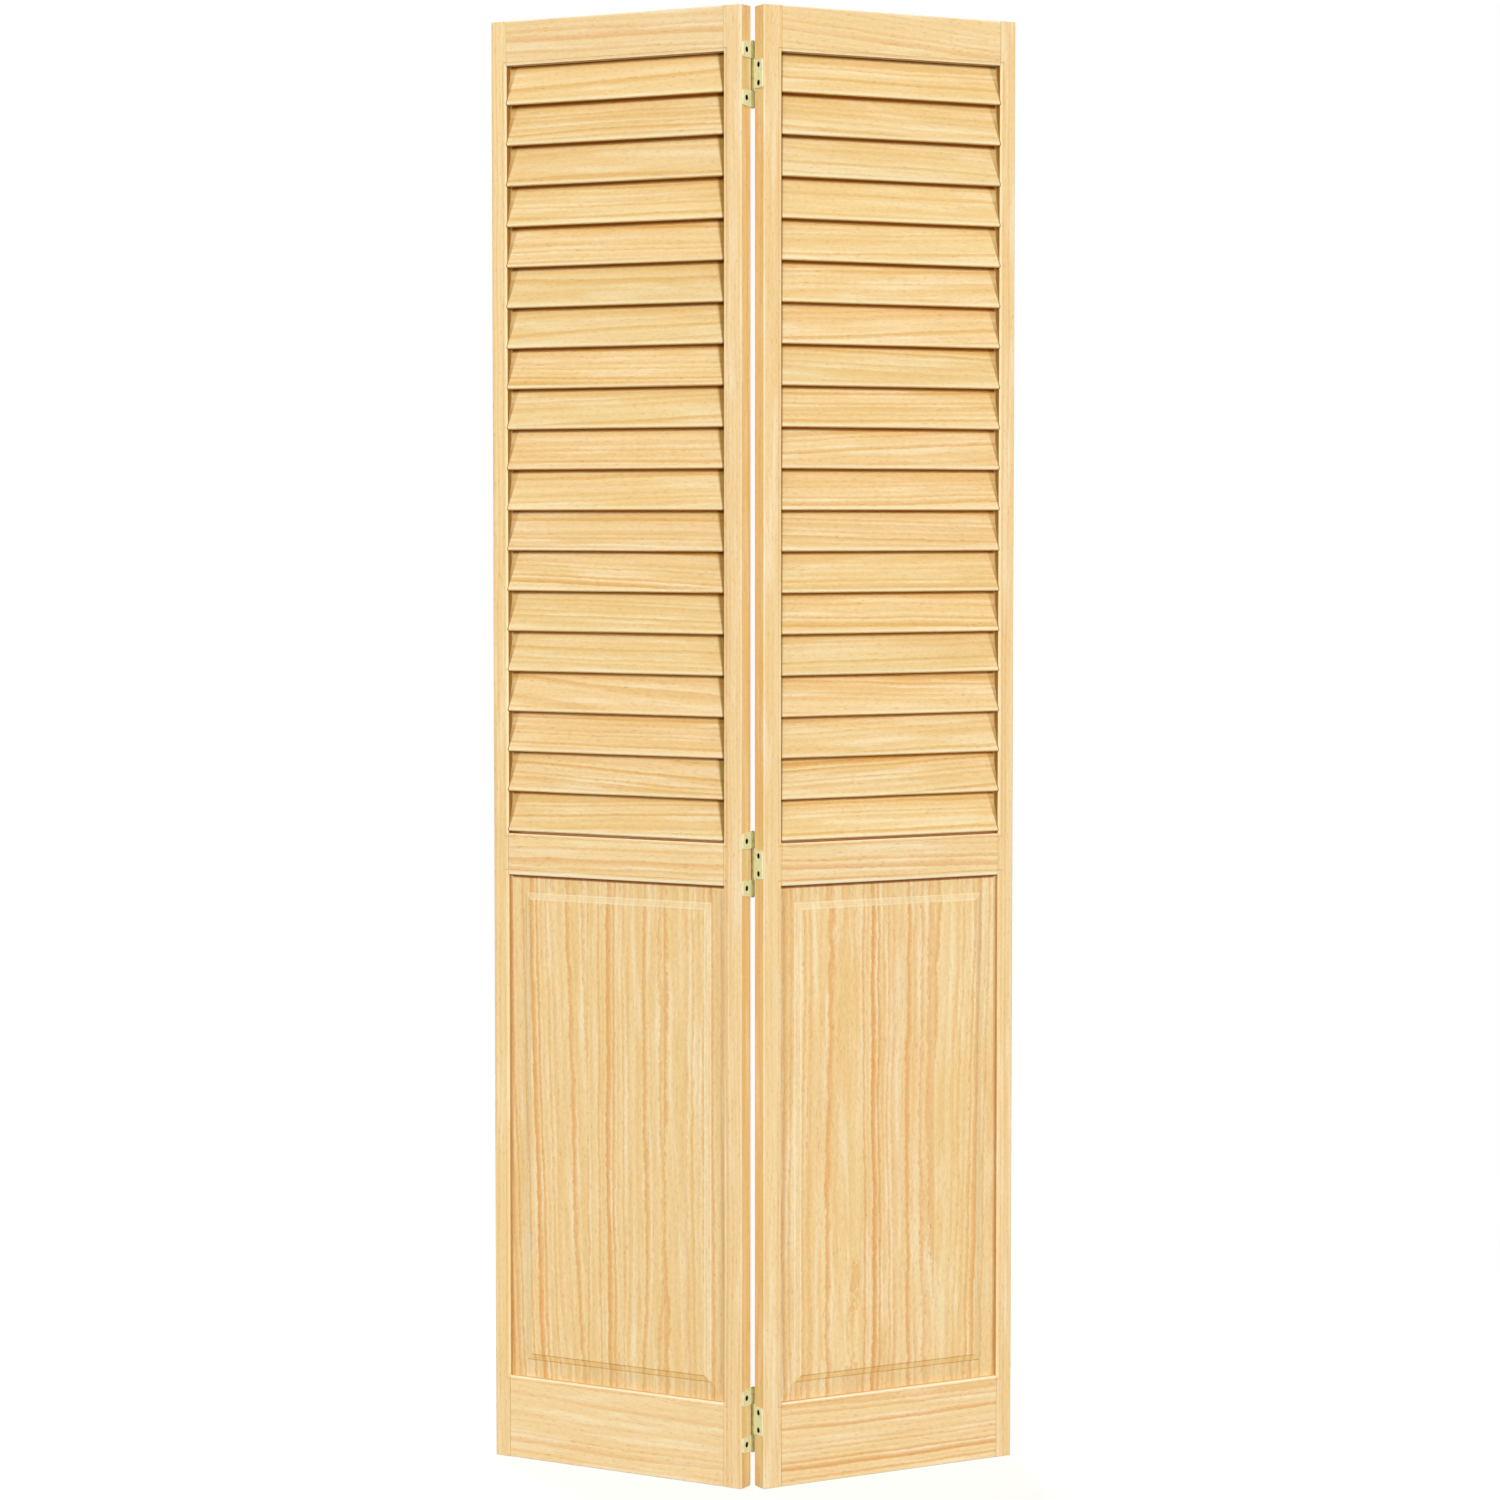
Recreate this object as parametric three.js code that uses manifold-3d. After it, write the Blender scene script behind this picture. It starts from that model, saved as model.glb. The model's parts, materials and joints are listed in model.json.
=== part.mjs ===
// Bifold closet door in clear pine: two leaves, louvers over a raised panel, joined by three pinned hinges.
// Millimetres, +Z up. The folded middle edge points to -Y, the room side, and both leaves stand on z = 0.
// Each leaf is drawn as the right one, with x running out from the hinge pins and the room face at -y.
import * as THREE from "three";
import { mergeVertices } from "three/addons/utils/BufferGeometryUtils.js";
import Module from "manifold-3d";

const wasm = await Module();
wasm.setup();

// Door
const closedWidth = 800.1;
const doorHeight = 2006.6;
const leafThickness = 25.4;
const leafGap = 3.4;
const restFold = THREE.MathUtils.degToRad(29);

// Frame members
const hingeStileWidth = 27.8;
const outerStileWidth = 24;
const topRailHeight = 61.2;
const louverOpeningHeight = 1063.1;
const midRailHeight = 59.4;
const bottomRailHeight = 115.8;
const edgeArris = 1.5;
const openingArris = 3;

// Joinery
const fitGap = 0.3;
const cutOverrun = 2;
const dowelRadius = 4.75;
const dowelChamfer = 1.2;
const stileCore = 1.8;
const dowelPlaceShares = [0.36, 0.76];

// Louver slats
const slatCount = 19;
const slatThickness = 6.6;
const slatOverlap = 5;
const slatFrontInset = 0.8;
const slatBackInset = 1.8;
const slatSillGap = 1.2;
const slatTenon = 6.5;

// Raised panel
const panelTongue = 8;
const panelSlack = 1;
const panelMargin = 24;
const panelBevel = 9.5;
const panelMarginDepth = 8;
const panelFieldDepth = 4.5;

// Hinges
const hingeHeight = 89;
const hingeEndDistance = 91;
const plateThickness = 1.2;
const plateReach = 23;
const tabHeight = 23;
const tabTaper = 4;
const plateCorner = 3;
const innerPlateHeight = 38.5;
const pinRadius = 1;
const pinHeadHeight = 0.8;
const innerKnuckleWall = 0.7;
const spineWall = 0.5;
const spineHalfAngle = THREE.MathUtils.degToRad(35);
const outerScrewSpacing = 64;
const innerScrewSpacing = 24.2;
const screwRadius = 1.6;
const screwHeadRadius = 3.6;
const screwHeadHeight = 0.4;
const screwTip = 4;

// Facets of the round forms
const arrisFacets = 1;
const slatEdgeFacets = 3;
const boltFacets = 5;
const spineFacets = 2;
const latheFacets = 12;

// Sizes that follow from the ones above
const leafWidth = (closedWidth - leafGap) / 2;
const openingWidth = leafWidth - hingeStileWidth - outerStileWidth;
const panelOpeningHeight =
  doorHeight - topRailHeight - louverOpeningHeight - midRailHeight - bottomRailHeight;
const panelSill = bottomRailHeight;
const midRailBottom = panelSill + panelOpeningHeight;
const louverSill = midRailBottom + midRailHeight;
const louverHead = louverSill + louverOpeningHeight;
const railLength = openingWidth - 2 * fitGap;
const dowelDepth = (hingeStileWidth - stileCore) / 2;
const screwDepth = dowelDepth;
const dowelRadiusAtTip = dowelRadius - dowelChamfer;
const slatPitch = louverOpeningHeight / slatCount;
const slatRise = slatPitch + slatOverlap - slatThickness;
const slatRun = leafThickness - slatFrontInset - slatBackInset - slatThickness;
const slatY = (slatFrontInset - slatBackInset) / 2;
const topSlatZ = louverSill + slatSillGap + (slatCount - 1) * slatPitch + (slatRise + slatThickness) / 2;
const grooveDepth = panelTongue + panelSlack;
const tongueThickness = leafThickness - 2 * panelMarginDepth;
const grooveWidth = tongueThickness + 2 * fitGap;
const innerKnuckleRadius = pinRadius + fitGap + innerKnuckleWall;
const spineInnerRadius = innerKnuckleRadius + fitGap;
const barrelRadius = spineInnerRadius + spineWall;
const pinToEdge = leafGap / 2;
const pinToBack = Math.sqrt((barrelRadius + fitGap) ** 2 - pinToEdge ** 2);
const plateX = pinToEdge - fitGap - plateThickness;
const plateTipY = -pinToBack - plateReach;
const screwY = -pinToBack - leafThickness / 2;
const hingeHeights = {
  top: doorHeight - hingeEndDistance,
  middle: midRailBottom + midRailHeight / 2,
  bottom: hingeEndDistance,
};

// Colours
const pineStile = 0xf1d299;
const pineRail = 0xefce97;
const pineSlat = 0xeccb92;
const pinePanel = 0xe9c389;
const brassPlate = 0xc9c38e;
const brassPin = 0x8e8c5a;

function pine(color) {
  return new THREE.MeshStandardMaterial({ color, roughness: 0.62, metalness: 0, flatShading: true });
}

function brass(color) {
  return new THREE.MeshStandardMaterial({ color, roughness: 0.38, metalness: 0.85, flatShading: true });
}

// Closed mesh with shared corners and nothing but positions
function welded(geometry) {
  geometry.deleteAttribute("normal");
  geometry.deleteAttribute("uv");
  return mergeVertices(geometry);
}

function solidOf(geometry) {
  const merged = welded(geometry);
  return new wasm.Manifold(
    new wasm.Mesh({
      numProp: 3,
      vertProperties: new Float32Array(merged.attributes.position.array),
      triVerts: new Uint32Array(merged.index.array),
    }),
  );
}

function geometryOf(solid) {
  const mesh = solid.getMesh();
  const geometry = new THREE.BufferGeometry();
  geometry.setAttribute("position", new THREE.BufferAttribute(mesh.vertProperties, 3));
  geometry.setIndex(new THREE.BufferAttribute(mesh.triVerts, 1));
  return geometry;
}

function cutFrom(base, tools) {
  return tools.reduce((solid, tool) => solid.subtract(solidOf(tool)), base);
}

function joinedTo(base, additions) {
  return additions.reduce((solid, addition) => solid.add(solidOf(addition)), base);
}

// The same form seen in a mirror across x = 0, with its faces still pointing out
function mirrored(geometry) {
  const copy = geometry.clone();
  const position = copy.attributes.position;
  for (let i = 0; i < position.count; i += 1) {
    position.setX(i, -position.getX(i));
  }
  const index = copy.index;
  for (let i = 0; i < index.count; i += 3) {
    const first = index.getX(i);
    index.setX(i, index.getX(i + 1));
    index.setX(i + 1, first);
  }
  return copy;
}

function extruded(shape, length, curveSegments) {
  return new THREE.ExtrudeGeometry(shape, { depth: length, curveSegments, bevelEnabled: false });
}

// A section drawn in (y, z) and run along +x
function alongX(shape, length, curveSegments) {
  const turn = new THREE.Matrix4().makeBasis(
    new THREE.Vector3(0, 1, 0),
    new THREE.Vector3(0, 0, 1),
    new THREE.Vector3(1, 0, 0),
  );
  return extruded(shape, length, curveSegments).applyMatrix4(turn);
}

// A profile of [radius, height] pairs turned about the x axis, its heights running along +x
function turnedAlongX(profile) {
  const points = profile.map(([radius, height]) => new THREE.Vector2(radius, height));
  return new THREE.LatheGeometry(points, latheFacets).rotateZ(-Math.PI / 2);
}

function circle(radius) {
  return new THREE.Shape().absarc(0, 0, radius, 0, 2 * Math.PI, false);
}

// A rectangle from a = 0 to a = width and centred on b = 0, with rounded corners at each end
function easedSection(width, depth, startArris, endArris) {
  const half = depth / 2;
  const shape = new THREE.Shape();
  shape.absarc(startArris, startArris - half, startArris, Math.PI, 1.5 * Math.PI, false);
  shape.absarc(width - endArris, endArris - half, endArris, 1.5 * Math.PI, 2 * Math.PI, false);
  shape.absarc(width - endArris, half - endArris, endArris, 0, 0.5 * Math.PI, false);
  shape.absarc(startArris, half - startArris, startArris, 0.5 * Math.PI, Math.PI, false);
  return shape;
}

// The same rectangle in (y, z), standing on z = 0, for the rails
function railSection(height, bottomArris, topArris) {
  const half = leafThickness / 2;
  const shape = new THREE.Shape();
  shape.absarc(bottomArris - half, bottomArris, bottomArris, Math.PI, 1.5 * Math.PI, false);
  shape.absarc(half - bottomArris, bottomArris, bottomArris, 1.5 * Math.PI, 2 * Math.PI, false);
  shape.absarc(half - topArris, height - topArris, topArris, 0, 0.5 * Math.PI, false);
  shape.absarc(topArris - half, height - topArris, topArris, 0.5 * Math.PI, Math.PI, false);
  return shape;
}

// A slat's section in (y, z): lower edge to the room, upper edge to the back, both edges full round
function slatSection(grow) {
  const radius = slatThickness / 2 + grow;
  const lean = Math.atan2(slatRun, slatRise);
  const shape = new THREE.Shape();
  shape.absarc(slatRun / 2, slatRise / 2, radius, -lean, Math.PI - lean, false);
  shape.absarc(-slatRun / 2, -slatRise / 2, radius, Math.PI - lean, 2 * Math.PI - lean, false);
  return shape;
}

function slatZ(index) {
  return topSlatZ - index * slatPitch;
}

// Heights of a rail's two dowels, above the foot of the rail
function dowelHeights(railHeight) {
  return dowelPlaceShares.map((share) => share * railHeight);
}

function slatGeometry() {
  return welded(alongX(slatSection(0), openingWidth + 2 * slatTenon, slatEdgeFacets));
}

function dowelGeometry() {
  const length = dowelDepth + fitGap;
  return turnedAlongX([
    [0, -cutOverrun],
    [dowelRadius, -cutOverrun],
    [dowelRadius, length - dowelChamfer],
    [dowelRadiusAtTip, length],
    [0, length],
  ]);
}

// A rail lies from x = 0 to x = railLength with its foot at z = 0 and a dowel pair standing out of each end
function railGeometry(height, bottomArris, topArris, cuts) {
  const base = solidOf(alongX(railSection(height, bottomArris, topArris), railLength, arrisFacets));
  const dowels = dowelHeights(height).flatMap((z) => [
    dowelGeometry().translate(railLength, 0, z),
    dowelGeometry().rotateZ(Math.PI).translate(0, 0, z),
  ]);
  return geometryOf(joinedTo(cutFrom(base, cuts), dowels));
}

function railGroove(z) {
  return new THREE.BoxGeometry(railLength + 2 * cutOverrun, grooveWidth, 2 * grooveDepth)
    .translate(railLength / 2, 0, z);
}

function topRailGeometry() {
  const slot = alongX(slatSection(fitGap), railLength + 2 * cutOverrun, slatEdgeFacets)
    .translate(-cutOverrun, slatY, topSlatZ - louverHead);
  return railGeometry(topRailHeight, openingArris, edgeArris, [slot]);
}

function midRailGeometry() {
  return railGeometry(midRailHeight, openingArris, openingArris, [railGroove(0)]);
}

function bottomRailGeometry() {
  return railGeometry(bottomRailHeight, edgeArris, openingArris, [railGroove(bottomRailHeight)]);
}

// A stile stands from x = 0, its free edge, to x = width, the edge that takes the slats, rails and panel
function stileGeometry(width, screwHeights) {
  const section = easedSection(width, leafThickness, edgeArris, edgeArris);
  const base = solidOf(extruded(section, doorHeight, arrisFacets));
  const mortiseDepth = slatTenon + fitGap;
  const mortises = Array.from({ length: slatCount }, (_, index) =>
    alongX(slatSection(fitGap), mortiseDepth + cutOverrun, slatEdgeFacets)
      .translate(width - mortiseDepth, slatY, slatZ(index)),
  );
  const holeDepth = dowelDepth + fitGap;
  const dowelHoles = [
    [0, bottomRailHeight],
    [midRailBottom, midRailHeight],
    [louverHead, topRailHeight],
  ].flatMap(([foot, height]) =>
    dowelHeights(height).map((z) =>
      alongX(circle(dowelRadius + fitGap), holeDepth + cutOverrun, boltFacets)
        .translate(width - holeDepth, 0, foot + z),
    ),
  );
  const groove = new THREE.BoxGeometry(2 * grooveDepth, grooveWidth, panelOpeningHeight + 2 * grooveDepth)
    .translate(width, 0, panelSill + panelOpeningHeight / 2);
  const screwHoles = screwHeights.map((z) =>
    alongX(circle(screwRadius + fitGap), screwDepth + fitGap + cutOverrun, boltFacets)
      .translate(-cutOverrun, 0, z),
  );
  return geometryOf(cutFrom(base, [...mortises, ...dowelHoles, groove, ...screwHoles]));
}

// Rectangles about one centre, each with its inset from the panel's edge and its y, joined and capped
function panelGeometry() {
  const width = openingWidth + 2 * panelTongue;
  const height = panelOpeningHeight + 2 * panelTongue;
  const marginY = tongueThickness / 2;
  const fieldY = leafThickness / 2 - panelFieldDepth;
  const marginInset = panelTongue + panelMargin;
  const fieldInset = marginInset + panelBevel;
  const rings = [
    [fieldInset, -fieldY],
    [marginInset, -marginY],
    [0, -marginY],
    [0, marginY],
    [marginInset, marginY],
    [fieldInset, fieldY],
  ];
  const points = rings.flatMap(([inset, y]) => [
    [inset, y, inset],
    [width - inset, y, inset],
    [width - inset, y, height - inset],
    [inset, y, height - inset],
  ]);
  const corners = points.length / rings.length;
  const triangles = [];
  const quad = (a, b, c, d) => triangles.push(a, b, c, a, c, d);
  quad(0, 1, 2, 3);
  for (let ring = 0; ring < rings.length - 1; ring += 1) {
    for (let side = 0; side < corners; side += 1) {
      const here = corners * ring + side;
      const next = corners * ring + ((side + 1) % corners);
      quad(here, here + corners, next + corners, next);
    }
  }
  const last = corners * (rings.length - 1);
  quad(last + 3, last + 2, last + 1, last);
  const geometry = new THREE.BufferGeometry();
  geometry.setAttribute("position", new THREE.Float32BufferAttribute(points.flat(), 3));
  geometry.setIndex(triangles);
  return geometry;
}

// A screw lies along +x, driven through a plate whose open face is at x = 0
function screwGeometry() {
  const underHead = plateThickness / 2;
  const length = plateThickness + fitGap + screwDepth;
  return turnedAlongX([
    [0, -screwHeadHeight],
    [screwHeadRadius - screwHeadHeight, -screwHeadHeight],
    [screwHeadRadius, 0],
    [screwHeadRadius, underHead],
    [screwRadius, underHead],
    [screwRadius, length - screwTip],
    [0, length],
  ]);
}

function screwsAt(spacing) {
  return [-spacing / 2, spacing / 2].map((z) => screwGeometry().translate(plateX, screwY, z));
}

function knuckleGeometry(radius, bottom, top) {
  const ring = circle(radius);
  ring.holes.push(circle(pinRadius + fitGap));
  return extruded(ring, top - bottom, boltFacets).translate(0, 0, bottom);
}

// A plate's outline in (y, z), from the pin axis out to a tip with cut corners
function plateOutline(rootBottom, rootTop, tipBottom, tipTop) {
  return new THREE.Shape([
    new THREE.Vector2(0, rootBottom),
    new THREE.Vector2(0, rootTop),
    new THREE.Vector2(plateTipY + plateCorner, tipTop),
    new THREE.Vector2(plateTipY, tipTop - plateCorner),
    new THREE.Vector2(plateTipY, tipBottom + plateCorner),
    new THREE.Vector2(plateTipY + plateCorner, tipBottom),
  ]);
}

function plateGeometry(outline) {
  return alongX(outline, plateThickness, arrisFacets).translate(plateX, 0, 0);
}

// The outer plate: an upper and a lower tab with a screw each, joined by a thin spine round the barrel
function outerPlateGeometry() {
  const top = hingeHeight / 2;
  const tabFoot = top - tabHeight;
  const spine = new THREE.Shape();
  spine.absarc(0, 0, barrelRadius, -spineHalfAngle, spineHalfAngle, false);
  spine.absarc(0, 0, spineInnerRadius, spineHalfAngle, -spineHalfAngle, true);
  const bore = extruded(circle(pinRadius + fitGap), hingeHeight + 2 * cutOverrun, boltFacets)
    .translate(0, 0, -top - cutOverrun);
  const solid = joinedTo(solidOf(extruded(spine, hingeHeight, spineFacets).translate(0, 0, -top)), [
    knuckleGeometry(barrelRadius, tabFoot, top),
    knuckleGeometry(barrelRadius, -top, -tabFoot),
    plateGeometry(plateOutline(tabFoot, top, tabFoot, top - tabTaper)),
    plateGeometry(plateOutline(-top, -tabFoot, tabTaper - top, -tabFoot)),
    ...screwsAt(outerScrewSpacing),
  ]);
  return geometryOf(cutFrom(solid, [bore]));
}

// The inner plate: one plate with two screws, its knuckle between the outer plate's two
function innerPlateGeometry() {
  const half = innerPlateHeight / 2;
  const knuckleTop = hingeHeight / 2 - tabHeight - fitGap;
  const bore = extruded(circle(pinRadius + fitGap), 2 * (knuckleTop + cutOverrun), boltFacets)
    .translate(0, 0, -knuckleTop - cutOverrun);
  const solid = joinedTo(solidOf(knuckleGeometry(innerKnuckleRadius, -knuckleTop, knuckleTop)), [
    plateGeometry(plateOutline(-half, half, -half, half)),
    ...screwsAt(innerScrewSpacing),
  ]);
  return geometryOf(cutFrom(solid, [bore]));
}

// The pin is centred on z = 0, with a flat head at each end just clear of the end knuckles
function pinGeometry() {
  const headFoot = hingeHeight / 2 + fitGap;
  const headTop = headFoot + pinHeadHeight;
  const headRadius = innerKnuckleRadius;
  const half = [
    [pinRadius, headFoot],
    [headRadius, headFoot],
    [headRadius, headTop - pinHeadHeight / 2],
    [pinRadius, headTop],
    [0, headTop],
  ];
  const lower = half.map(([radius, z]) => [radius, -z]).reverse();
  const points = [...lower, ...half].map(([radius, z]) => new THREE.Vector2(radius, z));
  return welded(new THREE.LatheGeometry(points, latheFacets).rotateX(Math.PI / 2));
}

// A leaf turns about the pin axis, and side is 1 for the right leaf and -1 for the left one
function makeLeaf(side) {
  const group = new THREE.Group();
  group.rotation.z = side * restFold;
  return { side, group };
}

function addPiece(leaf, name, geometry, material, place, facing = 1) {
  const mesh = new THREE.Mesh(leaf.side * facing > 0 ? geometry : mirrored(geometry), material);
  mesh.geometry.computeVertexNormals();
  mesh.name = name;
  mesh.position.set(leaf.side * place.x, place.y, place.z);
  leaf.group.add(mesh);
}

function addWoodwork(leaf, word, screwSpacing) {
  const y = -pinToBack - leafThickness / 2;
  const openingX = pinToEdge + hingeStileWidth;
  const halfSpacing = screwSpacing / 2;
  const screwHeights = Object.values(hingeHeights).flatMap((z) => [z - halfSpacing, z + halfSpacing]);
  const hingeStile = stileGeometry(hingeStileWidth, screwHeights);
  addPiece(leaf, `${word}_hinge_stile`, hingeStile, pine(pineStile), { x: pinToEdge, y, z: 0 });
  const outerStile = stileGeometry(outerStileWidth, []);
  const outerPlace = { x: pinToEdge + leafWidth, y, z: 0 };
  addPiece(leaf, `${word}_outer_stile`, outerStile, pine(pineStile), outerPlace, -1);

  const railX = openingX + fitGap;
  addPiece(leaf, `${word}_top_rail`, topRailGeometry(), pine(pineRail), { x: railX, y, z: louverHead });
  addPiece(leaf, `${word}_mid_rail`, midRailGeometry(), pine(pineRail), { x: railX, y, z: midRailBottom });
  addPiece(leaf, `${word}_bottom_rail`, bottomRailGeometry(), pine(pineRail), { x: railX, y, z: 0 });

  const panelPlace = { x: openingX - panelTongue, y, z: panelSill - panelTongue };
  addPiece(leaf, `${word}_panel`, panelGeometry(), pine(pinePanel), panelPlace);

  for (let index = 0; index < slatCount; index += 1) {
    const name = `${word}_slat_${String(index + 1).padStart(2, "0")}`;
    const place = { x: openingX - slatTenon, y: y + slatY, z: slatZ(index) };
    addPiece(leaf, name, slatGeometry(), pine(pineSlat), place);
  }
}

function addHinges(leftLeaf, rightLeaf) {
  for (const [word, z] of Object.entries(hingeHeights)) {
    const place = { x: 0, y: 0, z };
    addPiece(leftLeaf, `${word}_hinge_outer_plate`, outerPlateGeometry(), brass(brassPlate), place);
    addPiece(leftLeaf, `${word}_hinge_pin`, pinGeometry(), brass(brassPin), place);
    addPiece(rightLeaf, `${word}_hinge_inner_plate`, innerPlateGeometry(), brass(brassPlate), place);
  }
}

// The y of the middle of the folded door's depth, with its eased corners, from the pin axis
function depthMiddle() {
  const sine = Math.sin(restFold);
  const cosine = Math.cos(restFold);
  const frontX = pinToEdge + edgeArris;
  const frontDepth = pinToBack + leafThickness - edgeArris;
  const backX = pinToEdge + leafWidth - edgeArris;
  const backDepth = pinToBack + edgeArris;
  const front = frontX * sine - frontDepth * cosine - edgeArris;
  const back = backX * sine - backDepth * cosine + edgeArris;
  return (front + back) / 2;
}

const door = new THREE.Group();
const leftLeaf = makeLeaf(-1);
const rightLeaf = makeLeaf(1);
addWoodwork(leftLeaf, "left", outerScrewSpacing);
addWoodwork(rightLeaf, "right", innerScrewSpacing);
addHinges(leftLeaf, rightLeaf);
door.add(leftLeaf.group, rightLeaf.group);
door.position.y = -depthMiddle();

export default door;
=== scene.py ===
"""Looks of a bifold closet door in clear pine: louvers over a raised panel, two leaves on brass hinges.

Metres, +Z up. Each leaf is built in axes of its own: x runs out from the hinge pins, y towards the room
and z up. The places of its boards are read from the frame's nodes.
"""
import json
import math
import random
from collections import namedtuple
from functools import partial

import bmesh
import bpy
import numpy as np
from mathutils import Matrix, Vector


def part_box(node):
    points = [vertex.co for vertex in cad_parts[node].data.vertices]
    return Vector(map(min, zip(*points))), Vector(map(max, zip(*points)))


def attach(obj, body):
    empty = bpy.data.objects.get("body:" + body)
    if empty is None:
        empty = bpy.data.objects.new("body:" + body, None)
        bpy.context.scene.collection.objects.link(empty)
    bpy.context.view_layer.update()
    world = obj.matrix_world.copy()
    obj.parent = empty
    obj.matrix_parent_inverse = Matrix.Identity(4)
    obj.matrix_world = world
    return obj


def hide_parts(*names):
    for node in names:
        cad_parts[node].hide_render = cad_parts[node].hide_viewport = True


MM = 0.001
X_AXIS, Y_AXIS, Z_AXIS = 0, 1, 2

# Camera
CAMERA_PLACE = Vector((0.026, -5.258, 1.324))
CAMERA_PITCH = math.radians(-3.05)
CAMERA_YAW = math.radians(0.328)
CAMERA_LENS = 91.85
CAMERA_SHIFT = -0.02

# Lights
KEY_TURN = math.radians(2)
KEY_HEIGHT = math.radians(15)
KEY_STRENGTH = 1.6
KEY_SOFTNESS = math.radians(8)
RIM_TURN = math.radians(200)
RIM_HEIGHT = math.radians(25)
RIM_STRENGTH = 1.7
RIM_SOFTNESS = math.radians(25)
FRONT_FILL = 1.86
BASE_FILL = 0.32
FRONT_REACH = (0.1, 0.85)
LOW_REACH = (0.75, 0.1)

# Floor
FLOOR_SIZE = 60
FLOOR_CLEARANCE = 0.2 * MM
FLOOR_FADE_START = 0.7
FLOOR_FADE_END = 2.2
FLOOR_BOUNCE = 0.22
FLOOR_GREY = 0.6
FLOOR_GLOW = 0.62

# Woodwork
FREE_EDGE = 1.7 * MM
JOINT_EDGE = 0.45 * MM
END_EASE = 0.5 * MM
HINGE_BACK_EDGE = 0.5 * MM
OPENING_EDGE = 2.4 * MM
QUIRK_LAND = 2.2 * MM
QUIRK_WIDTH = 1.2 * MM
QUIRK_DEPTH = 0.7 * MM
FIT_GAP = 0.3 * MM
OVERRUN = 2 * MM
SLAT_THICKNESS = 6.6 * MM
GROOVE_SLACK = 1 * MM
DOWEL_CHAMFER = 1.2 * MM
TONGUE_EASE = 0.5 * MM
EDGE_STEPS = 5
SLAT_EDGE_STEPS = 12
ROUND_STEPS = 32
STAVE_SHARES = {"left": [0.29, 0.63], "right": [0.37, 0.7]}
BEVEL_SHARES = [(0, 0), (0.16, 0.27), (0.84, 0.73), (1, 1)]
# How tall the rounded edge is at the head of the panel's opening and of the louvers'
HEAD_EDGE_SHARES = (2.0, 0.8)

# Painted shade in recesses and dark corners, and a paler band above each slat's nose, a painted highlight
RECESS_DEPTHS = [-1 * MM, 0.8 * MM, 2.4 * MM, 8 * MM, 15 * MM]
RECESS_SHARES = [2.0, 1.9, 1.15, 0.55, 0.0]
NOSE_LEVELS = [4.3 * MM, 7.5 * MM]
NOSE_SHARES = [1.2, 0.0]
SLAT_PAINTED_SHADE_START = 1.2 * MM
SLAT_PAINTED_SHADE_SHARES = {"left": 1.4, "right": 0.8}
SLAT_END_SHARE = 0.82
SLAT_END_DEPTHS = [2 * MM, 10 * MM]
SLAT_END_DEPTH_SHARES = [1.0, 0.35]
WALL_PAINTED_SHADE = 16 * MM
PANEL_WALL_SHARE = 0.2
PANEL_BAND = 20 * MM
PANEL_PAINTED_SHADES = {"head": (5.2 * MM, 0.95), "hinge": (13 * MM, 0.14), "outer": (3.6 * MM, 0.3)}
NO_PAINTED_SHADE = (0.0, 0.0, 0.0)

# How far each kind of face is paler, partly as sanded wood and partly as a painted highlight, and how far
# it is deeper in colour, partly as edge grain and dark joints and partly as painted shade in recesses,
# quirks, walls and undersides
FINISH_AND_PAINTED_LIGHT_SHARES = {
    "plain": (0.0, 0.0),
    "recess": (0.0, 2.0),
    "open nose": (1.35, 0.0),
    "nose foot": (0.0, 1.2),
    "stile quirk": (0.0, 1.15),
    "louver arris": (1.0, 0.0),
    "stile arris": (0.35, 0.0),
    "louver wall": (0.0, 1.15),
    "panel wall": (0.0, 1.5),
    "stile edge": (0.0, 1.0),
    "rail underside": (0.0, 1.4),
    "head quirk": (0.6, 0.0),
    "rail quirk": (0.0, 1.2),
    "rail end": (0.0, 1.1),
    "opening arris": (1.9, 0.0),
    "rail arris": (1.2, 0.0),
}
# The same for each bevel of the panel and for its steps: paler as a painted highlight where they face the
# light, and deeper as a painted shade at the foot, which faces down
BEVEL_PAINTED_LIGHT_SHARES = {
    "foot": ((0.0, 1.1), (0.0, 1.35)),
    "head": ((0.55, 0.0), (1.1, 0.0)),
    "hinge": ((0.55, 0.0), (1.1, 0.0)),
    "outer": ((0.2, 0.0), (0.6, 0.0)),
}
# The lightness and figure of the panel's bevels and margins, against the rest of the stave. The sunken
# margins are darker, a painted shade, and the bevels' lightness is set along with their painted light
BEVEL_TONE_SHARES = {"foot": (1.06, 0.8), "head": (0.94, 0.6), "hinge": (0.905, 0.5), "outer": (1.0, 0.85)}
MARGIN_SHARES = {"foot": (0.92, 0.9), "head": (0.965, 0.8), "hinge": (0.965, 0.6), "outer": (0.945, 0.85)}

# The axes along, across and through the trunk of an upright board and of a level one
UPRIGHT = (Z_AXIS, X_AXIS, Y_AXIS)
LEVEL = (X_AXIS, Z_AXIS, Y_AXIS)
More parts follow.
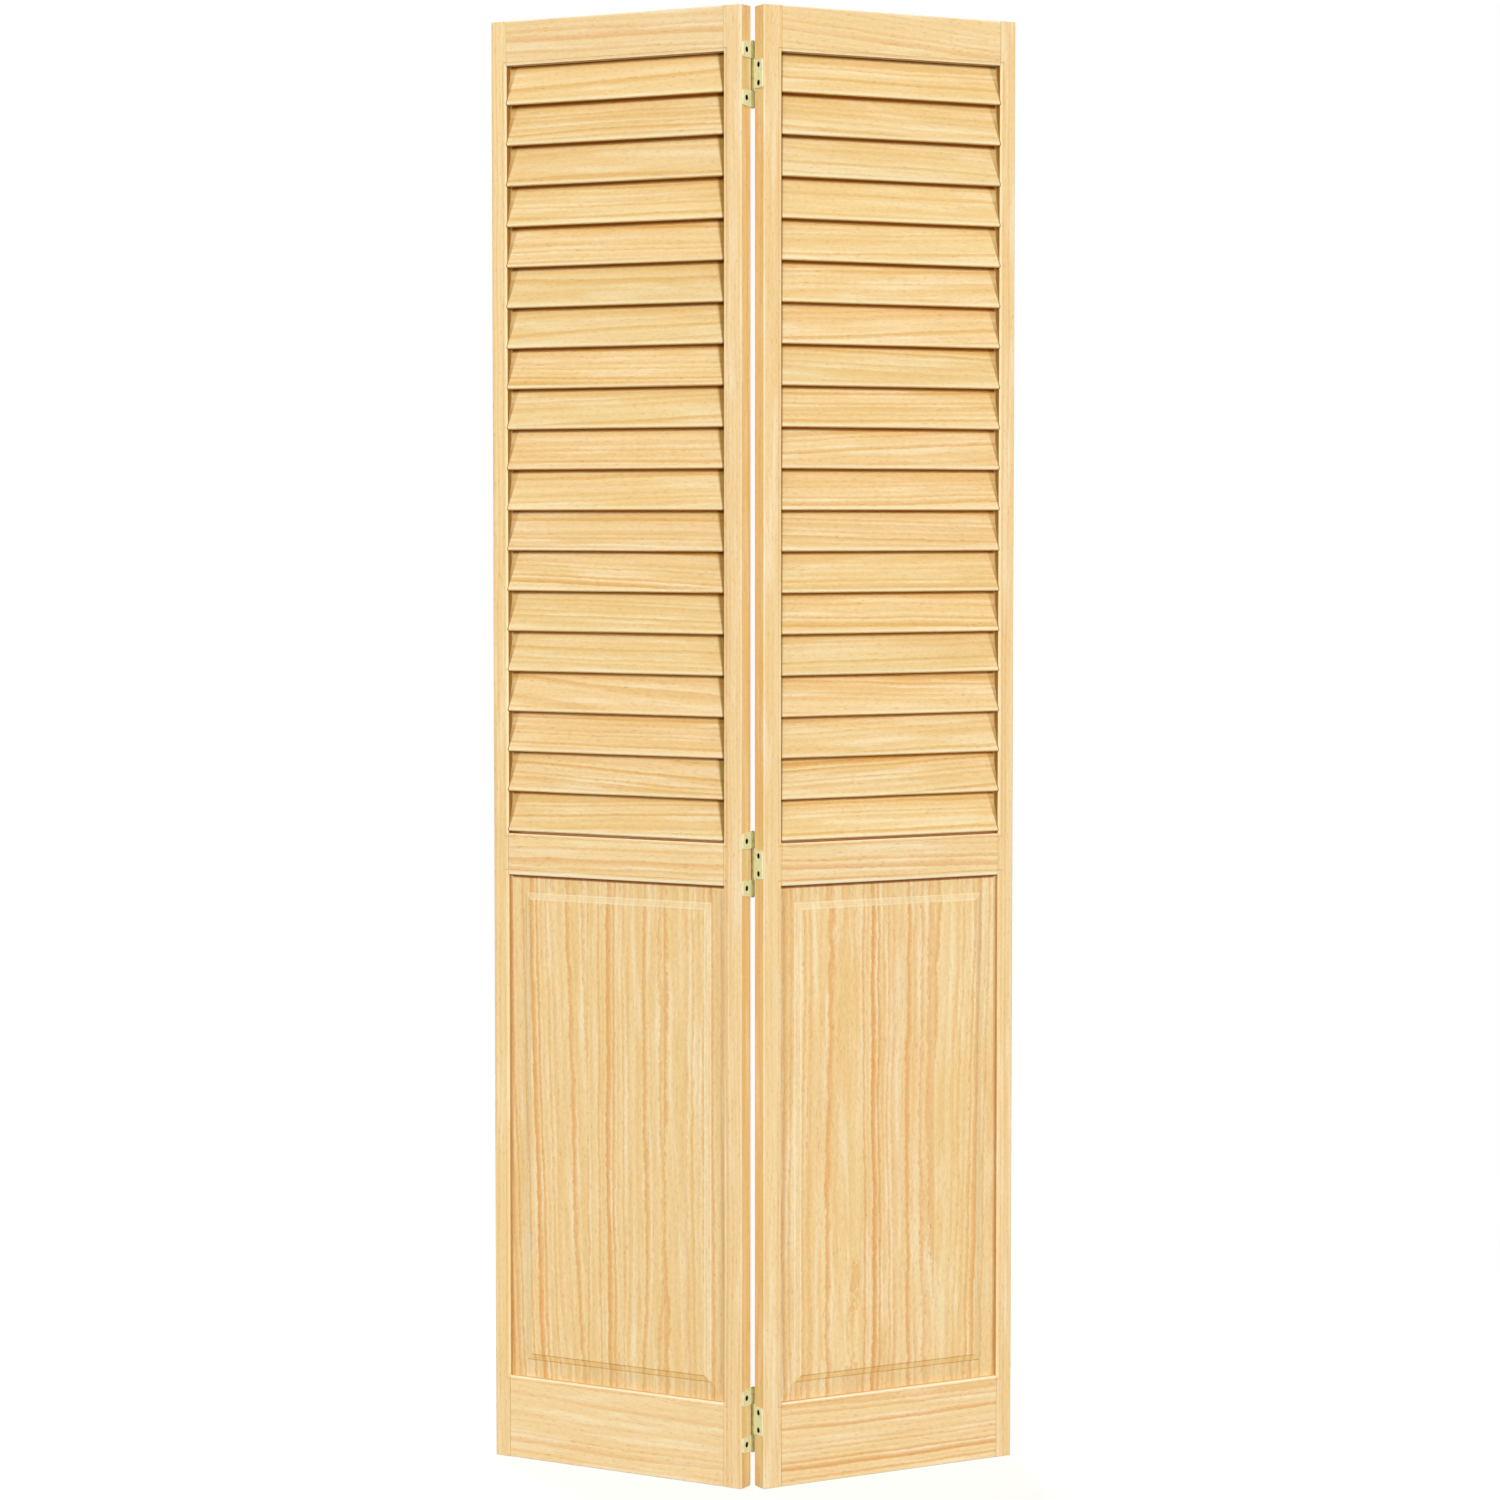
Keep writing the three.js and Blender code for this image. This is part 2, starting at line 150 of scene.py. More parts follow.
# How each kind of board is sawn: its distance from the pith, its lean, the range of its tone, and the share
# of its depth that counts
Sawing = namedtuple(
    "Sawing", "pith_across pith_depth lean lightness warmth figure depth_share", defaults=[1.0]
)
SAWINGS = {
    "stile": Sawing((50 * MM, 90 * MM), (30 * MM, 80 * MM), 0.004, (1.0, 1.02), (-0.3, 0.2), (0.5, 0.8)),
    "rail": Sawing((80 * MM, 120 * MM), (50 * MM, 90 * MM), 0.04, (0.98, 1.0), (-0.1, 0.4), (0.4, 0.6)),
    "dowel": Sawing((10 * MM, 30 * MM), (10 * MM, 30 * MM), 0.0, (0.97, 1.0), (-0.3, 0.3), (0.5, 0.9)),
    "slat": Sawing((50 * MM, 110 * MM), (20 * MM, 60 * MM), 0.03, (0.955, 0.99), (-0.6, 0.15), (0.7, 1.1)),
    "stave": Sawing(
        (50 * MM, 100 * MM), (50 * MM, 80 * MM), 0.02, (0.99, 1.01), (-0.3, 0.3), (0.9, 1.1), depth_share=0.2
    ),
}
RAIL_TONES = {
    "left_mid_rail": {"lightness": (0.99, 1.01)},
    "left_bottom_rail": {"lightness": (1.01, 1.03), "figure": (0.4, 0.5)},
    "right_mid_rail": {"lightness": (0.985, 1.005), "figure": (0.5, 0.7)},
    "right_bottom_rail": {"lightness": (1.005, 1.02), "figure": (0.95, 1.05)},
}
TRUNK_LENGTH = 9
RAILS = ("top_rail", "mid_rail", "bottom_rail")

# Hinges
PLATE_SEAT_GAP = 0.05 * MM
PLATE_EDGE = 0.3 * MM
PLATE_CORNER = 3 * MM
TAB_HEIGHT = 23 * MM
TAB_TAPER = 2 * MM
INNER_PLATE_HEIGHT = 38.5 * MM
BARREL_RADIUS = 2.8 * MM
INNER_BARREL_RADIUS = 2 * MM
SPINE_RADIUS = 2.3 * MM
SPINE_HALF_ANGLE = 35
PIN_RADIUS = 1 * MM
PIN_BORE_RADIUS = 1.3 * MM
PIN_HEAD_RADIUS = 2 * MM
PIN_HEAD_HEIGHT = 0.8 * MM
SINK_RADIUS = 4.2 * MM
SINK_FLOOR_RADIUS = 2.2 * MM
SINK_DEPTH_SHARE = 0.9
SCREW_HEAD_RADIUS = 3.95 * MM
SCREW_HEAD_DROP = 0.25 * MM
SCREW_HEAD_LIP = 0.15 * MM
SCREW_RADIUS = 1.6 * MM
SCREW_CORE_RADIUS = 1.15 * MM
SCREW_COLLAR = 1 * MM
SCREW_TIP = 4 * MM
SCREW_TIP_RADIUS = 0.15 * MM
SCREW_THREADS = 9
CROSS_REACH = 1.75 * MM
CROSS_WIDTH = 0.8 * MM
CROSS_DEPTH = 1 * MM

# What counts as the same place, a wide face and a smooth edge
TINY = 0.01 * MM
WIDE_FACE = 3 * MM
SMOOTH_ANGLE = math.radians(32)

# Limits on the parts of a face's normal
FLAT = 0.999
FLATTEST_ARRIS = 0.9975
SQUARE = 0.9
NOSE_SQUARE = 0.8
LEANING = 0.1
SIDEWAYS = 0.01
SLAT_SLOPE = 0.2
NOSE_TOP = 0.5
NOSE_FOOT = -0.35
SILL_SLOPE = 0.6
HEAD_SLOPES = (0.5, 0.8)

SEED = 29
random_draw = random.Random(SEED)


def srgb(red, green, blue):
    """A colour written as 0 to 255 screen values, as the linear colour that a material takes."""
    values = [value / 255 for value in (red, green, blue)]
    return (*[v / 12.92 if v <= 0.04045 else ((v + 0.055) / 1.055) ** 2.4 for v in values], 1)


def grey(level):
    return (level, level, level, 1)


def new_object(name, data):
    """An object with this data, in the scene."""
    item = bpy.data.objects.new(name, data)
    bpy.context.scene.collection.objects.link(item)
    return item


def make_camera():
    data = bpy.data.cameras.new("camera")
    data.lens = CAMERA_LENS
    data.shift_y = CAMERA_SHIFT
    camera = new_object("camera", data)
    camera.location = CAMERA_PLACE
    camera.rotation_euler = (math.pi / 2 + CAMERA_PITCH, 0, CAMERA_YAW)
    bpy.context.scene.camera = camera


make_camera()
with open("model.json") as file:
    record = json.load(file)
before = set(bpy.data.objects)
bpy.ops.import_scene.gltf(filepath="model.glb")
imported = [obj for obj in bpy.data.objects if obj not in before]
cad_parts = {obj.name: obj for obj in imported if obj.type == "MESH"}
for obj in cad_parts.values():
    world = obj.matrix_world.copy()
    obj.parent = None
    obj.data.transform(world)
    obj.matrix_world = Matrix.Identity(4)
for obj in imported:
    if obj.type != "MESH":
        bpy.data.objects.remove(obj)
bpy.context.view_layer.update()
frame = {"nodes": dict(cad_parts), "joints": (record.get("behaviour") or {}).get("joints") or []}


class Graph:
    """The nodes of a material or of the world, with a short call for each kind."""

    def __init__(self, owner):
        self.owner = owner
        owner.use_nodes = True
        self.tree = owner.node_tree
        self.tree.nodes.clear()

    def node(self, kind, inputs=None, **settings):
        node = self.tree.nodes.new("ShaderNode" + kind)
        for key, value in settings.items():
            setattr(node, key, value)
        for key, value in (inputs or {}).items():
            if isinstance(value, bpy.types.NodeSocket):
                self.tree.links.new(value, node.inputs[key])
            else:
                node.inputs[key].default_value = value
        return node

    def out(self, kind, inputs=None, **settings):
        return self.node(kind, inputs, **settings).outputs[0]

    def attribute(self, name):
        return self.node("Attribute", attribute_name=name).outputs["Vector"]

    def math(self, operation, *values):
        return self.out("Math", dict(enumerate(values)), operation=operation)

    def plus(self, first, second):
        return self.math("ADD", first, second)

    def minus(self, first, second):
        return self.math("SUBTRACT", first, second)

    def times(self, first, second):
        return self.math("MULTIPLY", first, second)

    def split(self, vector):
        return self.node("SeparateXYZ", {0: vector}).outputs[:]

    def noise(self, vector, scales, detail=2.0, roughness=0.5, output="Fac"):
        scaled = self.out("VectorMath", {0: vector, 1: scales}, operation="MULTIPLY")
        inputs = {"Vector": scaled, "Scale": 1.0, "Detail": detail, "Roughness": roughness}
        return self.node("TexNoise", inputs).outputs[output]

    def noise_of(self, value, detail=1.0):
        inputs = {"W": value, "Scale": 1.0, "Detail": detail}
        return self.node("TexNoise", inputs, noise_dimensions="1D").outputs["Fac"]

    def spread(self, value, from_low, from_high, to_low=0.0, to_high=1.0, smooth=True):
        inputs = {0: value, 1: from_low, 2: from_high, 3: to_low, 4: to_high}
        return self.out("MapRange", inputs, interpolation_type="SMOOTHSTEP" if smooth else "LINEAR")

    def band(self, vector, scales, limits, detail=2.0):
        """Noise spread between two limits."""
        return self.spread(self.noise(vector, scales, detail), *limits)

    def mix(self, factor, first, second, blend="MIX"):
        inputs = {0: factor, 6: first, 7: second}
        return self.node("Mix", inputs, data_type="RGBA", blend_type=blend).outputs[2]

    def seen(self):
        """1 for what the camera sees, directly, in a mirror or through glass, and 0 for all other light."""
        path = self.node("LightPath").outputs
        seen = self.math("MAXIMUM", path["Is Camera Ray"], path["Is Glossy Ray"])
        return self.math("MAXIMUM", seen, path["Is Transmission Ray"])

    def surface(self, shader):
        self.node("OutputMaterial", {"Surface": shader})
        return self.owner

    def relief_surface(self, colour, roughness, relief, height, strength, gloss, metallic=0.0):
        """A surface whose relief is a bump of the height given."""
        bump = self.out("Bump", {"Strength": strength, "Distance": height, "Height": relief})
        return self.surface(self.out("BsdfPrincipled", {
            "Base Color": colour,
            "Metallic": metallic,
            "Roughness": roughness,
            "Specular IOR Level": gloss,
            "Normal": bump,
        }))


# Pine
EARLY_WOOD = srgb(246, 217, 162)
DEEP_EARLY_WOOD = srgb(240, 203, 140)
PALE_WOOD = srgb(252, 234, 194)
ORANGE_LATE_WOOD = srgb(230, 168, 98)
YELLOW_LATE_WOOD = srgb(228, 176, 96)
FLECK_WOOD = srgb(212, 148, 84)
ROSY_WOOD = srgb(244, 206, 164)
STRAW_WOOD = srgb(238, 212, 146)
END_WOOD = srgb(214, 164, 100)
# Paler wood on arrises and noses, partly sanded wood and partly a painted highlight
EASED_AND_HIGHLIGHT_WOOD = srgb(255, 242, 204)
# Deeper colour on edges, partly edge grain and partly painted shade, and the painted shade of recesses
EDGE_GRAIN_AND_SHADE_TINT = (0.99, 0.95, 0.83, 1)
RECESS_PAINTED_SHADE_TINT = (0.46, 0.25, 0.04, 1)
# Tints of the painted shade in dark corners, the second for the panel
SHADE_TINT = (0.42, 0.32, 0.14, 1)
RUDDY_SHADE_TINT = (0.42, 0.23, 0.14, 1)
PALE_SHARE = 0.6
FLECK_SHARE = 0.25
LATE_FLECK_SHARE = 0.5
WARMTH_SHARE = 0.5
END_GRAIN_SHARE = 0.55
END_GRAIN_POWER = 4
EASED_AND_HIGHLIGHT_SHARE = 0.45
PAINTED_SHADE_FADE_SHARES = (0.88, 0.58)

# Noise in the pine, with scales along, across and through the trunk, to the metre, and limits
NOISE_MEAN = 0.5
DRIFT = 16 * MM
DRIFT_SCALES = (2.4, 9, 9)
RAGGED_SCALES = ((24, 70, 70), (110, 190, 190), (210, 420, 420))
FINE_RAGGED_SHARE = 0.8
RING_SWELL = 1.5
RING_SWELL_SCALE = 0.41
LATE_RISE = (0.12, 0.8)
LATE_FALL = (1.0, 0.84)
VIGOUR_SCALE = 3.37
VIGOUR_RANGE = (0.3, 0.7, 0.2, 1.0)
STREAKS = ((2.6, 60, 60), (0.36, 0.64))
PALE_STREAKS = ((6, 80, 80), (0.48, 0.68))
FIBRE_SCALES = (24, 330, 330)
FIBRE_ROUGHNESS = 0.6
FIBRE_SHARE = 0.45
MOTTLE_SCALES = (150, 300, 300)
FLECKS = ((105, 520, 520), (0.6, 0.72))

# The feel of sanded pine
PINE_ROUGHNESS = (0.3, 0.7, 0.66, 0.78)
LATE_SHEEN = 0.14
PINE_GLOSS = 0.12
PINE_RELIEF = 0.12 * MM
PINE_BUMP = 0.35
FIBRE_RELIEF_SHARE = 0.7
LATE_RELIEF_SHARE = 0.5
FLECK_RELIEF_SHARE = 0.8


def growth_rings(g, grain, ring_spacing, raggedness, fray):
    """How far a point lies into its ring's late wood, for rings round the pith with ragged edges."""
    _, across, depth = g.split(grain)
    drift_across, drift_depth, _ = g.split(g.noise(grain, DRIFT_SCALES, output="Color"))
    across = g.plus(across, g.times(g.minus(drift_across, NOISE_MEAN), DRIFT))
    depth = g.plus(depth, g.times(g.minus(drift_depth, NOISE_MEAN), DRIFT))
    radius = g.math("SQRT", g.plus(g.times(across, across), g.times(depth, depth)))
    for scales, amount in zip(RAGGED_SCALES, (raggedness, raggedness * FINE_RAGGED_SHARE, fray)):
        jitter = g.minus(g.noise(grain, scales), NOISE_MEAN)
        radius = g.plus(radius, g.times(jitter, amount))
    rings = g.math("DIVIDE", radius, ring_spacing)
    rings = g.plus(rings, g.times(g.noise_of(g.times(rings, RING_SWELL_SCALE)), RING_SWELL))
    phase = g.math("FRACT", rings)
    late = g.times(g.spread(phase, *LATE_RISE), g.spread(phase, *LATE_FALL))
    vigour = g.noise_of(g.times(g.math("FLOOR", rings), VIGOUR_SCALE), detail=0.0)
    return g.times(late, g.spread(vigour, *VIGOUR_RANGE))


def pine(name, late_wood, ring_spacing, figure, contrast, raggedness, fray, depth_of_colour,
         shade=SHADE_TINT):
    """Growth rings round the pith, cut by each board's faces.

    The attribute grain holds a point's place along, across and through the trunk, and tone the board's
    lightness, warmth and figure. A third holds how far a face is paler, partly as sanded wood and partly as a
    painted highlight, its end grain, and how far it is deeper in colour, partly as edge grain and partly as
    painted shade. A fourth holds the distance from a corner of painted shade, the corner's reach and its
    strength.
    """
    g = Graph(bpy.data.materials.new(name))
    grain = g.attribute("grain")
    lightness, warmth, board_figure = g.split(g.attribute("tone"))
    eased_and_highlight, end_grain, edge = g.split(g.attribute("finish_and_painted_light"))
    distance, reach, strength = g.split(g.attribute("painted_shade"))

    late = g.times(growth_rings(g, grain, ring_spacing, raggedness, fray), g.times(board_figure, figure))
    streak = g.band(grain, *STREAKS)
    pale = g.band(grain, *PALE_STREAKS)
    fibre = g.noise(grain, FIBRE_SCALES, roughness=FIBRE_ROUGHNESS)
    mottle = g.noise(grain, MOTTLE_SCALES, detail=1.0)
    fleck = g.band(grain, *FLECKS, detail=1.0)
    # The painted shade of a dark corner, full near it and fading out towards its reach
    corner = g.times(g.spread(g.math("DIVIDE", distance, reach), *PAINTED_SHADE_FADE_SHARES), strength)

    colour = EARLY_WOOD
    for factor, layer, blend in (
        (g.times(streak, depth_of_colour), DEEP_EARLY_WOOD, "MIX"),
        (g.times(pale, PALE_SHARE), PALE_WOOD, "MIX"),
        (late, late_wood, "MIX"),
        (g.times(fleck, g.plus(g.times(late, LATE_FLECK_SHARE), FLECK_SHARE)), FLECK_WOOD, "MIX"),
        (g.spread(warmth, 0.0, 1.0, 0.0, WARMTH_SHARE, smooth=False), ROSY_WOOD, "MIX"),
        (g.spread(warmth, 0.0, -1.0, 0.0, WARMTH_SHARE, smooth=False), STRAW_WOOD, "MIX"),
        (g.times(end_grain, END_GRAIN_SHARE), END_WOOD, "MIX"),
        # Paler arrises and noses: partly sanded wood, partly a painted highlight
        (g.times(eased_and_highlight, EASED_AND_HIGHLIGHT_SHARE), EASED_AND_HIGHLIGHT_WOOD, "MIX"),
        # Deeper colour: partly edge grain and dark joints, partly painted shade, and in recesses painted
        # shade alone
        (g.spread(edge, 0.0, 1.0, smooth=False), EDGE_GRAIN_AND_SHADE_TINT, "MULTIPLY"),
        (g.spread(edge, 1.0, 2.0, smooth=False), RECESS_PAINTED_SHADE_TINT, "MULTIPLY"),
        (corner, shade, "MULTIPLY"),
    ):
        colour = g.mix(factor, colour, layer, blend)
    texture = g.plus(g.times(fibre, FIBRE_SHARE), g.times(mottle, 1 - FIBRE_SHARE))
    value = g.plus(g.times(g.minus(texture, NOISE_MEAN), contrast), lightness)
    colour = g.out("HueSaturation", {"Value": value, "Color": colour})

    rough = g.minus(g.spread(fibre, *PINE_ROUGHNESS, smooth=False), g.times(late, LATE_SHEEN))
    relief = g.plus(g.times(fibre, FIBRE_RELIEF_SHARE), g.times(late, LATE_RELIEF_SHARE))
    relief = g.minus(relief, g.times(fleck, FLECK_RELIEF_SHARE))
    return g.relief_surface(colour, rough, relief, PINE_RELIEF, PINE_BUMP, PINE_GLOSS)


# Hinge metal
BRASS = srgb(240, 246, 206)
DULL_BRASS = srgb(224, 226, 176)
# Darker brass for the barrels and the pins, a painted shade for their place in the gap between the leaves
SHADED_BARREL_BRASS = srgb(162, 152, 92)
SHADED_BARREL_DULL = srgb(122, 116, 60)
SCREW_BROWN = srgb(28, 18, 6)
# Near-black brown: a painted shade inside the cross recess, and the darker patches on the screw heads
CROSS_BROWN = srgb(12, 8, 3)
TARNISH = ((160, 160, 160), (0.35, 0.7))
TARNISH_SHARE = 0.6
TARNISH_ROUGHNESS = 0.06
MARK_SCALES = (2600, 2600, 420)
MARK_RANGE = (0.3, 0.7)
MARK_ROUGHNESS = 0.07
MARK_RELIEF = 0.03 * MM
MARK_BUMP = 0.2


def metal(name, bright, dull, roughness, metallic, gloss):
    """Plated metal with fine rolling marks and soft patches of tarnish."""
    g = Graph(bpy.data.materials.new(name))
    place = g.node("TexCoord").outputs["Object"]
    tarnish = g.band(place, *TARNISH, detail=3.0)
    marks = g.noise(place, MARK_SCALES)
    colour = g.mix(g.times(tarnish, TARNISH_SHARE), bright, dull)
    rough = g.spread(marks, *MARK_RANGE, roughness - MARK_ROUGHNESS, roughness + MARK_ROUGHNESS)
    rough = g.plus(rough, g.times(tarnish, TARNISH_ROUGHNESS))
    return g.relief_surface(colour, rough, marks, MARK_RELIEF, MARK_BUMP, gloss, metallic)


def floor_material():
    """White as the camera sees it, but for the door's own shadow, and a plain grey for all other light."""
    g = Graph(bpy.data.materials.new("floor_white"))
    place = g.node("TexCoord").outputs["Object"]
    distance = g.node("VectorMath", {0: place}, operation="LENGTH").outputs["Value"]
    fade = g.spread(distance, FLOOR_FADE_START, FLOOR_FADE_END)
    near = g.out("BsdfDiffuse", {"Color": grey(FLOOR_GREY)})
    glow = g.out("Emission", {"Color": grey(1), "Strength": FLOOR_GLOW})
    white = g.out("Emission", {"Color": grey(1), "Strength": 1.0})
    as_seen = g.out("MixShader", {0: fade, 1: g.out("AddShader", {0: near, 1: glow}), 2: white})
    plain = g.out("BsdfDiffuse", {"Color": grey(FLOOR_BOUNCE)})
    return g.surface(g.out("MixShader", {0: g.seen(), 1: plain, 2: as_seen}))


def make_world():
    """White as the camera sees it. Its light is strongest from the camera's side, low and wide."""
    world = bpy.data.worlds.new("studio")
    g = Graph(world)
    _, y, z = g.split(g.node("TexCoord").outputs["Generated"])
    frontness = g.spread(g.times(y, -1.0), *FRONT_REACH)
    lowness = g.spread(z, *LOW_REACH)
    fill = g.spread(g.times(frontness, lowness), 0.0, 1.0, BASE_FILL, FRONT_FILL, smooth=False)
    strength = g.spread(g.seen(), 0.0, 1.0, fill, 1.0, smooth=False)
    g.node("OutputWorld", {"Surface": g.out("Background", {"Color": grey(1), "Strength": strength})})
    bpy.context.scene.world = world


def make_sun(name, turn, height, strength, softness):
    """A far soft light. turn is measured from the camera's side of the door towards +x."""
    data = bpy.data.lights.new(name, "SUN")
    data.energy = strength
    data.angle = softness
    new_object(name, data).rotation_euler = (math.pi / 2 - height, 0, turn)


def make_floor():
    mesh = bpy.data.meshes.new("floor")
    half = FLOOR_SIZE / 2
    corners = [(-half, -half, 0), (half, -half, 0), (half, half, 0), (-half, half, 0)]
    mesh.from_pydata(corners, [], [(0, 1, 2, 3)])
    mesh.materials.append(floor_material())
    floor = new_object("floor", mesh)
    floor.location.z = -FLOOR_CLEARANCE


# Outlines
def arc(centre, radius, start, end, steps=EDGE_STEPS):
    """Points along an arc, from one angle to another in degrees."""
    angles = np.radians(np.linspace(start, end, steps + 1))
    return [(centre[0] + radius * math.cos(t), centre[1] + radius * math.sin(t)) for t in angles]


def rounded(low, high, radii):
    """A rectangle with a radius for each corner, anticlockwise from its low corner."""
    (a0, b0), (a1, b1) = low, high
    first, second, third, fourth = radii
    return (
        arc((a0 + first, b0 + first), first, 180, 270)
        + arc((a1 - second, b0 + second), second, 270, 360)
        + arc((a1 - third, b1 - third), third, 0, 90)
        + arc((a0 + fourth, b1 - fourth), fourth, 90, 180)
    )


def stadium(centre, run, rise, radius, back_levels=(), front_levels=()):
    """A slat's section: its lower edge run further along the first axis than its upper one. Points are added
    on its flat sides at the levels given."""
    lean = math.degrees(math.atan2(run, rise))
    upper = (centre[0] - run / 2, centre[1] + rise / 2)
    lower = (centre[0] + run / 2, centre[1] - rise / 2)
    upper_arc = arc(upper, radius, lean, 180 + lean, SLAT_EDGE_STEPS)
    lower_arc = arc(lower, radius, 180 + lean, 360 + lean, SLAT_EDGE_STEPS)
    back = between(upper_arc[-1], lower_arc[0], sorted(back_levels, reverse=True))
    front = between(lower_arc[-1], upper_arc[0], sorted(front_levels))
    return upper_arc + back + lower_arc + front


def between(start, end, heights):
    """Points on the line from start to end at those heights that lie between them."""
    low, high = sorted((start[1], end[1]))
    first, last = Vector(start), Vector(end)
    inside = [height for height in heights if low < height < high]
    return [tuple(first.lerp(last, (height - first.y) / (last.y - first.y))) for height in inside]


def circle(centre, radius):
    return arc(centre, radius, 0, 360, ROUND_STEPS)[:-1]


def facing_rectangle(left, right, foot, head, y):
    """The corners of a rectangle that faces the room."""
    return [(left, y, foot), (right, y, foot), (right, y, head), (left, y, head)]


# Solids, each a closed bmesh
def loft(rings):
    """A closed solid through rings of as many points each, capped at both ends."""
    solid = bmesh.new()
    rows = [[solid.verts.new(point) for point in ring] for ring in rings]
    count = len(rows[0])
    for lower, upper in zip(rows, rows[1:]):
        for i in range(count):
            j = (i + 1) % count
            solid.faces.new((lower[i], lower[j], upper[j], upper[i]))
    solid.faces.new(rows[0])
    solid.faces.new(rows[-1])
    bmesh.ops.recalc_face_normals(solid, faces=solid.faces)
    return solid


def along_x(a, b, t):
    return (t, a, b)


def along_z(a, b, t):
    return (a, b, t)


def prism(outline, start, end, place):
    return loft([[place(a, b, t) for a, b in outline] for t in (start, end)])


def box(low, high):
    outline = [(low[0], low[1]), (high[0], low[1]), (high[0], high[1]), (low[0], high[1])]
    return prism(outline, low[2], high[2], along_z)


def board(low, high, radii, place, ends):
    """A board from low to high, both (a, b), with eased long edges and slightly eased ends."""
    start, end = ends
    rings = []
    for t, inset in ((start, END_EASE), (start + END_EASE, 0), (end - END_EASE, 0), (end, END_EASE)):
        outline = rounded((low[0] + inset, low[1] + inset), (high[0] - inset, high[1] - inset), radii)
        rings.append([place(a, b, t) for a, b in outline])
    return loft(rings)


def turned(profile, centre, place):
    """A profile of (radius, distance) pairs turned about an axis through centre."""
    return loft([[place(a, b, t) for a, b in circle(centre, radius)] for radius, t in profile])


def eased_cylinder(radius, start, end, ease, centre, place):
    inner = radius - ease
    profile = [(inner, start), (radius, start + ease), (radius, end - ease), (inner, end)]
    return turned(profile, centre, place)


def mesh_of(solid, name="part"):
    mesh = bpy.data.meshes.new(name)
    solid.to_mesh(mesh)
    return mesh


def joined(solids):
    whole = bmesh.new()
    for solid in solids:
        mesh = mesh_of(solid)
        whole.from_mesh(mesh)
        bpy.data.meshes.remove(mesh)
    return whole


def combined(base, tool, operation="DIFFERENCE"):
    """base with tool cut away or added."""
    objects = [new_object("part", mesh_of(solid)) for solid in (base, tool)]
    modifier = objects[0].modifiers.new("cut", "BOOLEAN")
    modifier.operation = operation
    modifier.object = objects[1]
    modifier.solver = "EXACT"
    evaluated = objects[0].evaluated_get(bpy.context.evaluated_depsgraph_get())
    result = bpy.data.meshes.new_from_object(evaluated)
    solid = bmesh.new()
    solid.from_mesh(result)
    for mesh in [*[item.data for item in objects], result]:
        bpy.data.meshes.remove(mesh)
    return solid


def bisect(solid, point, normal):
    """Divides the faces of a solid along a plane."""
    geometry = solid.verts[:] + solid.edges[:] + solid.faces[:]
    bmesh.ops.bisect_plane(solid, geom=geometry, plane_co=point, plane_no=normal)


def is_wide(face):
    longest = max(edge.calc_length() for edge in face.edges)
    return face.calc_area() > WIDE_FACE * longest


def smooth_round_forms(solid):
    """Shades the narrow facets of arrises and noses as one curve and leaves wide faces flat."""
    wide = {face.index: is_wide(face) for face in solid.faces}
    for face in solid.faces:
        face.smooth = True
    for edge in solid.edges:
        smooth = edge.is_manifold and edge.calc_face_angle(math.pi) < SMOOTH_ANGLE
        edge.smooth = smooth and not any(wide[face.index] for face in edge.link_faces)


class Leaf:
    """One leaf of the door: its body in the frame and the matrix from its own axes to the frame's."""

    def __init__(self, word, side):
        self.word = word
        self.body = f"{word}_leaf"
        near, far = [sum(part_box(f"{word}_{node}"), Vector()) / 2 for node in ("hinge_stile", "outer_stile")]
        out = (far - near).normalized()
        room = side * Vector((out.y, -out.x, 0))
        turn = Matrix((out, room, Vector((0, 0, 1)))).transposed().to_4x4()
        pin = Vector(frame["joints"][0]["pos_m"])
        pin.z = 0
        self.matrix = Matrix.Translation(pin) @ turn
        self.inverse = self.matrix.inverted()

    def points(self, node):
        """The vertices of a CAD node in the leaf's axes."""
        return np.array([self.inverse @ vertex.co for vertex in frame["nodes"][node].data.vertices])

    def span(self, node):
        points = self.points(node)
        return Vector(points.min(axis=0)), Vector(points.max(axis=0))


def levels(values):
    """The distinct values in ascending order."""
    ordered = np.sort(values)
    return ordered[np.append(True, np.diff(ordered) > TINY)]


def add_piece(leaf, name, solid, materials, replaces=()):
    """Puts a solid, made in the leaf's axes, into the scene as a piece that rides with the leaf."""
    solid.faces.index_update()
    smooth_round_forms(solid)
    solid.transform(leaf.matrix)
    if leaf.matrix.determinant() < 0:
        bmesh.ops.reverse_faces(solid, faces=solid.faces)
    mesh = mesh_of(solid, name)
    for material in materials:
        mesh.materials.append(material)
    piece = new_object(name, mesh)
    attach(piece, leaf.body)
    if replaces:
        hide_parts(*replaces)


class Cut:
    """How a board was sawn from its trunk, drawn at random within the ranges of its kind."""

    def __init__(self, axes, centre, ranges):
        draw = random_draw.uniform
        self.axes = axes
        self.depth_share = ranges.depth_share
        self.centre = centre
        self.start = draw(0, TRUNK_LENGTH)
        self.across = draw(*ranges.pith_across) * random_draw.choice((-1, 1))
        self.depth = draw(*ranges.pith_depth) * random_draw.choice((-1, 1))
        self.lean_across = draw(-ranges.lean, ranges.lean)
        self.lean_depth = draw(-ranges.lean, ranges.lean)
        self.tone = (draw(*ranges.lightness), draw(*ranges.warmth), draw(*ranges.figure))

    def grain(self, point):
        """The point's place along the trunk, and across and through it from the pith."""
        along, across, depth = [point[axis] - self.centre[axis] for axis in self.axes]
        return (
            along + self.start,
            across + self.across + self.lean_across * along,
            depth * self.depth_share + self.depth + self.lean_depth * along,
        )


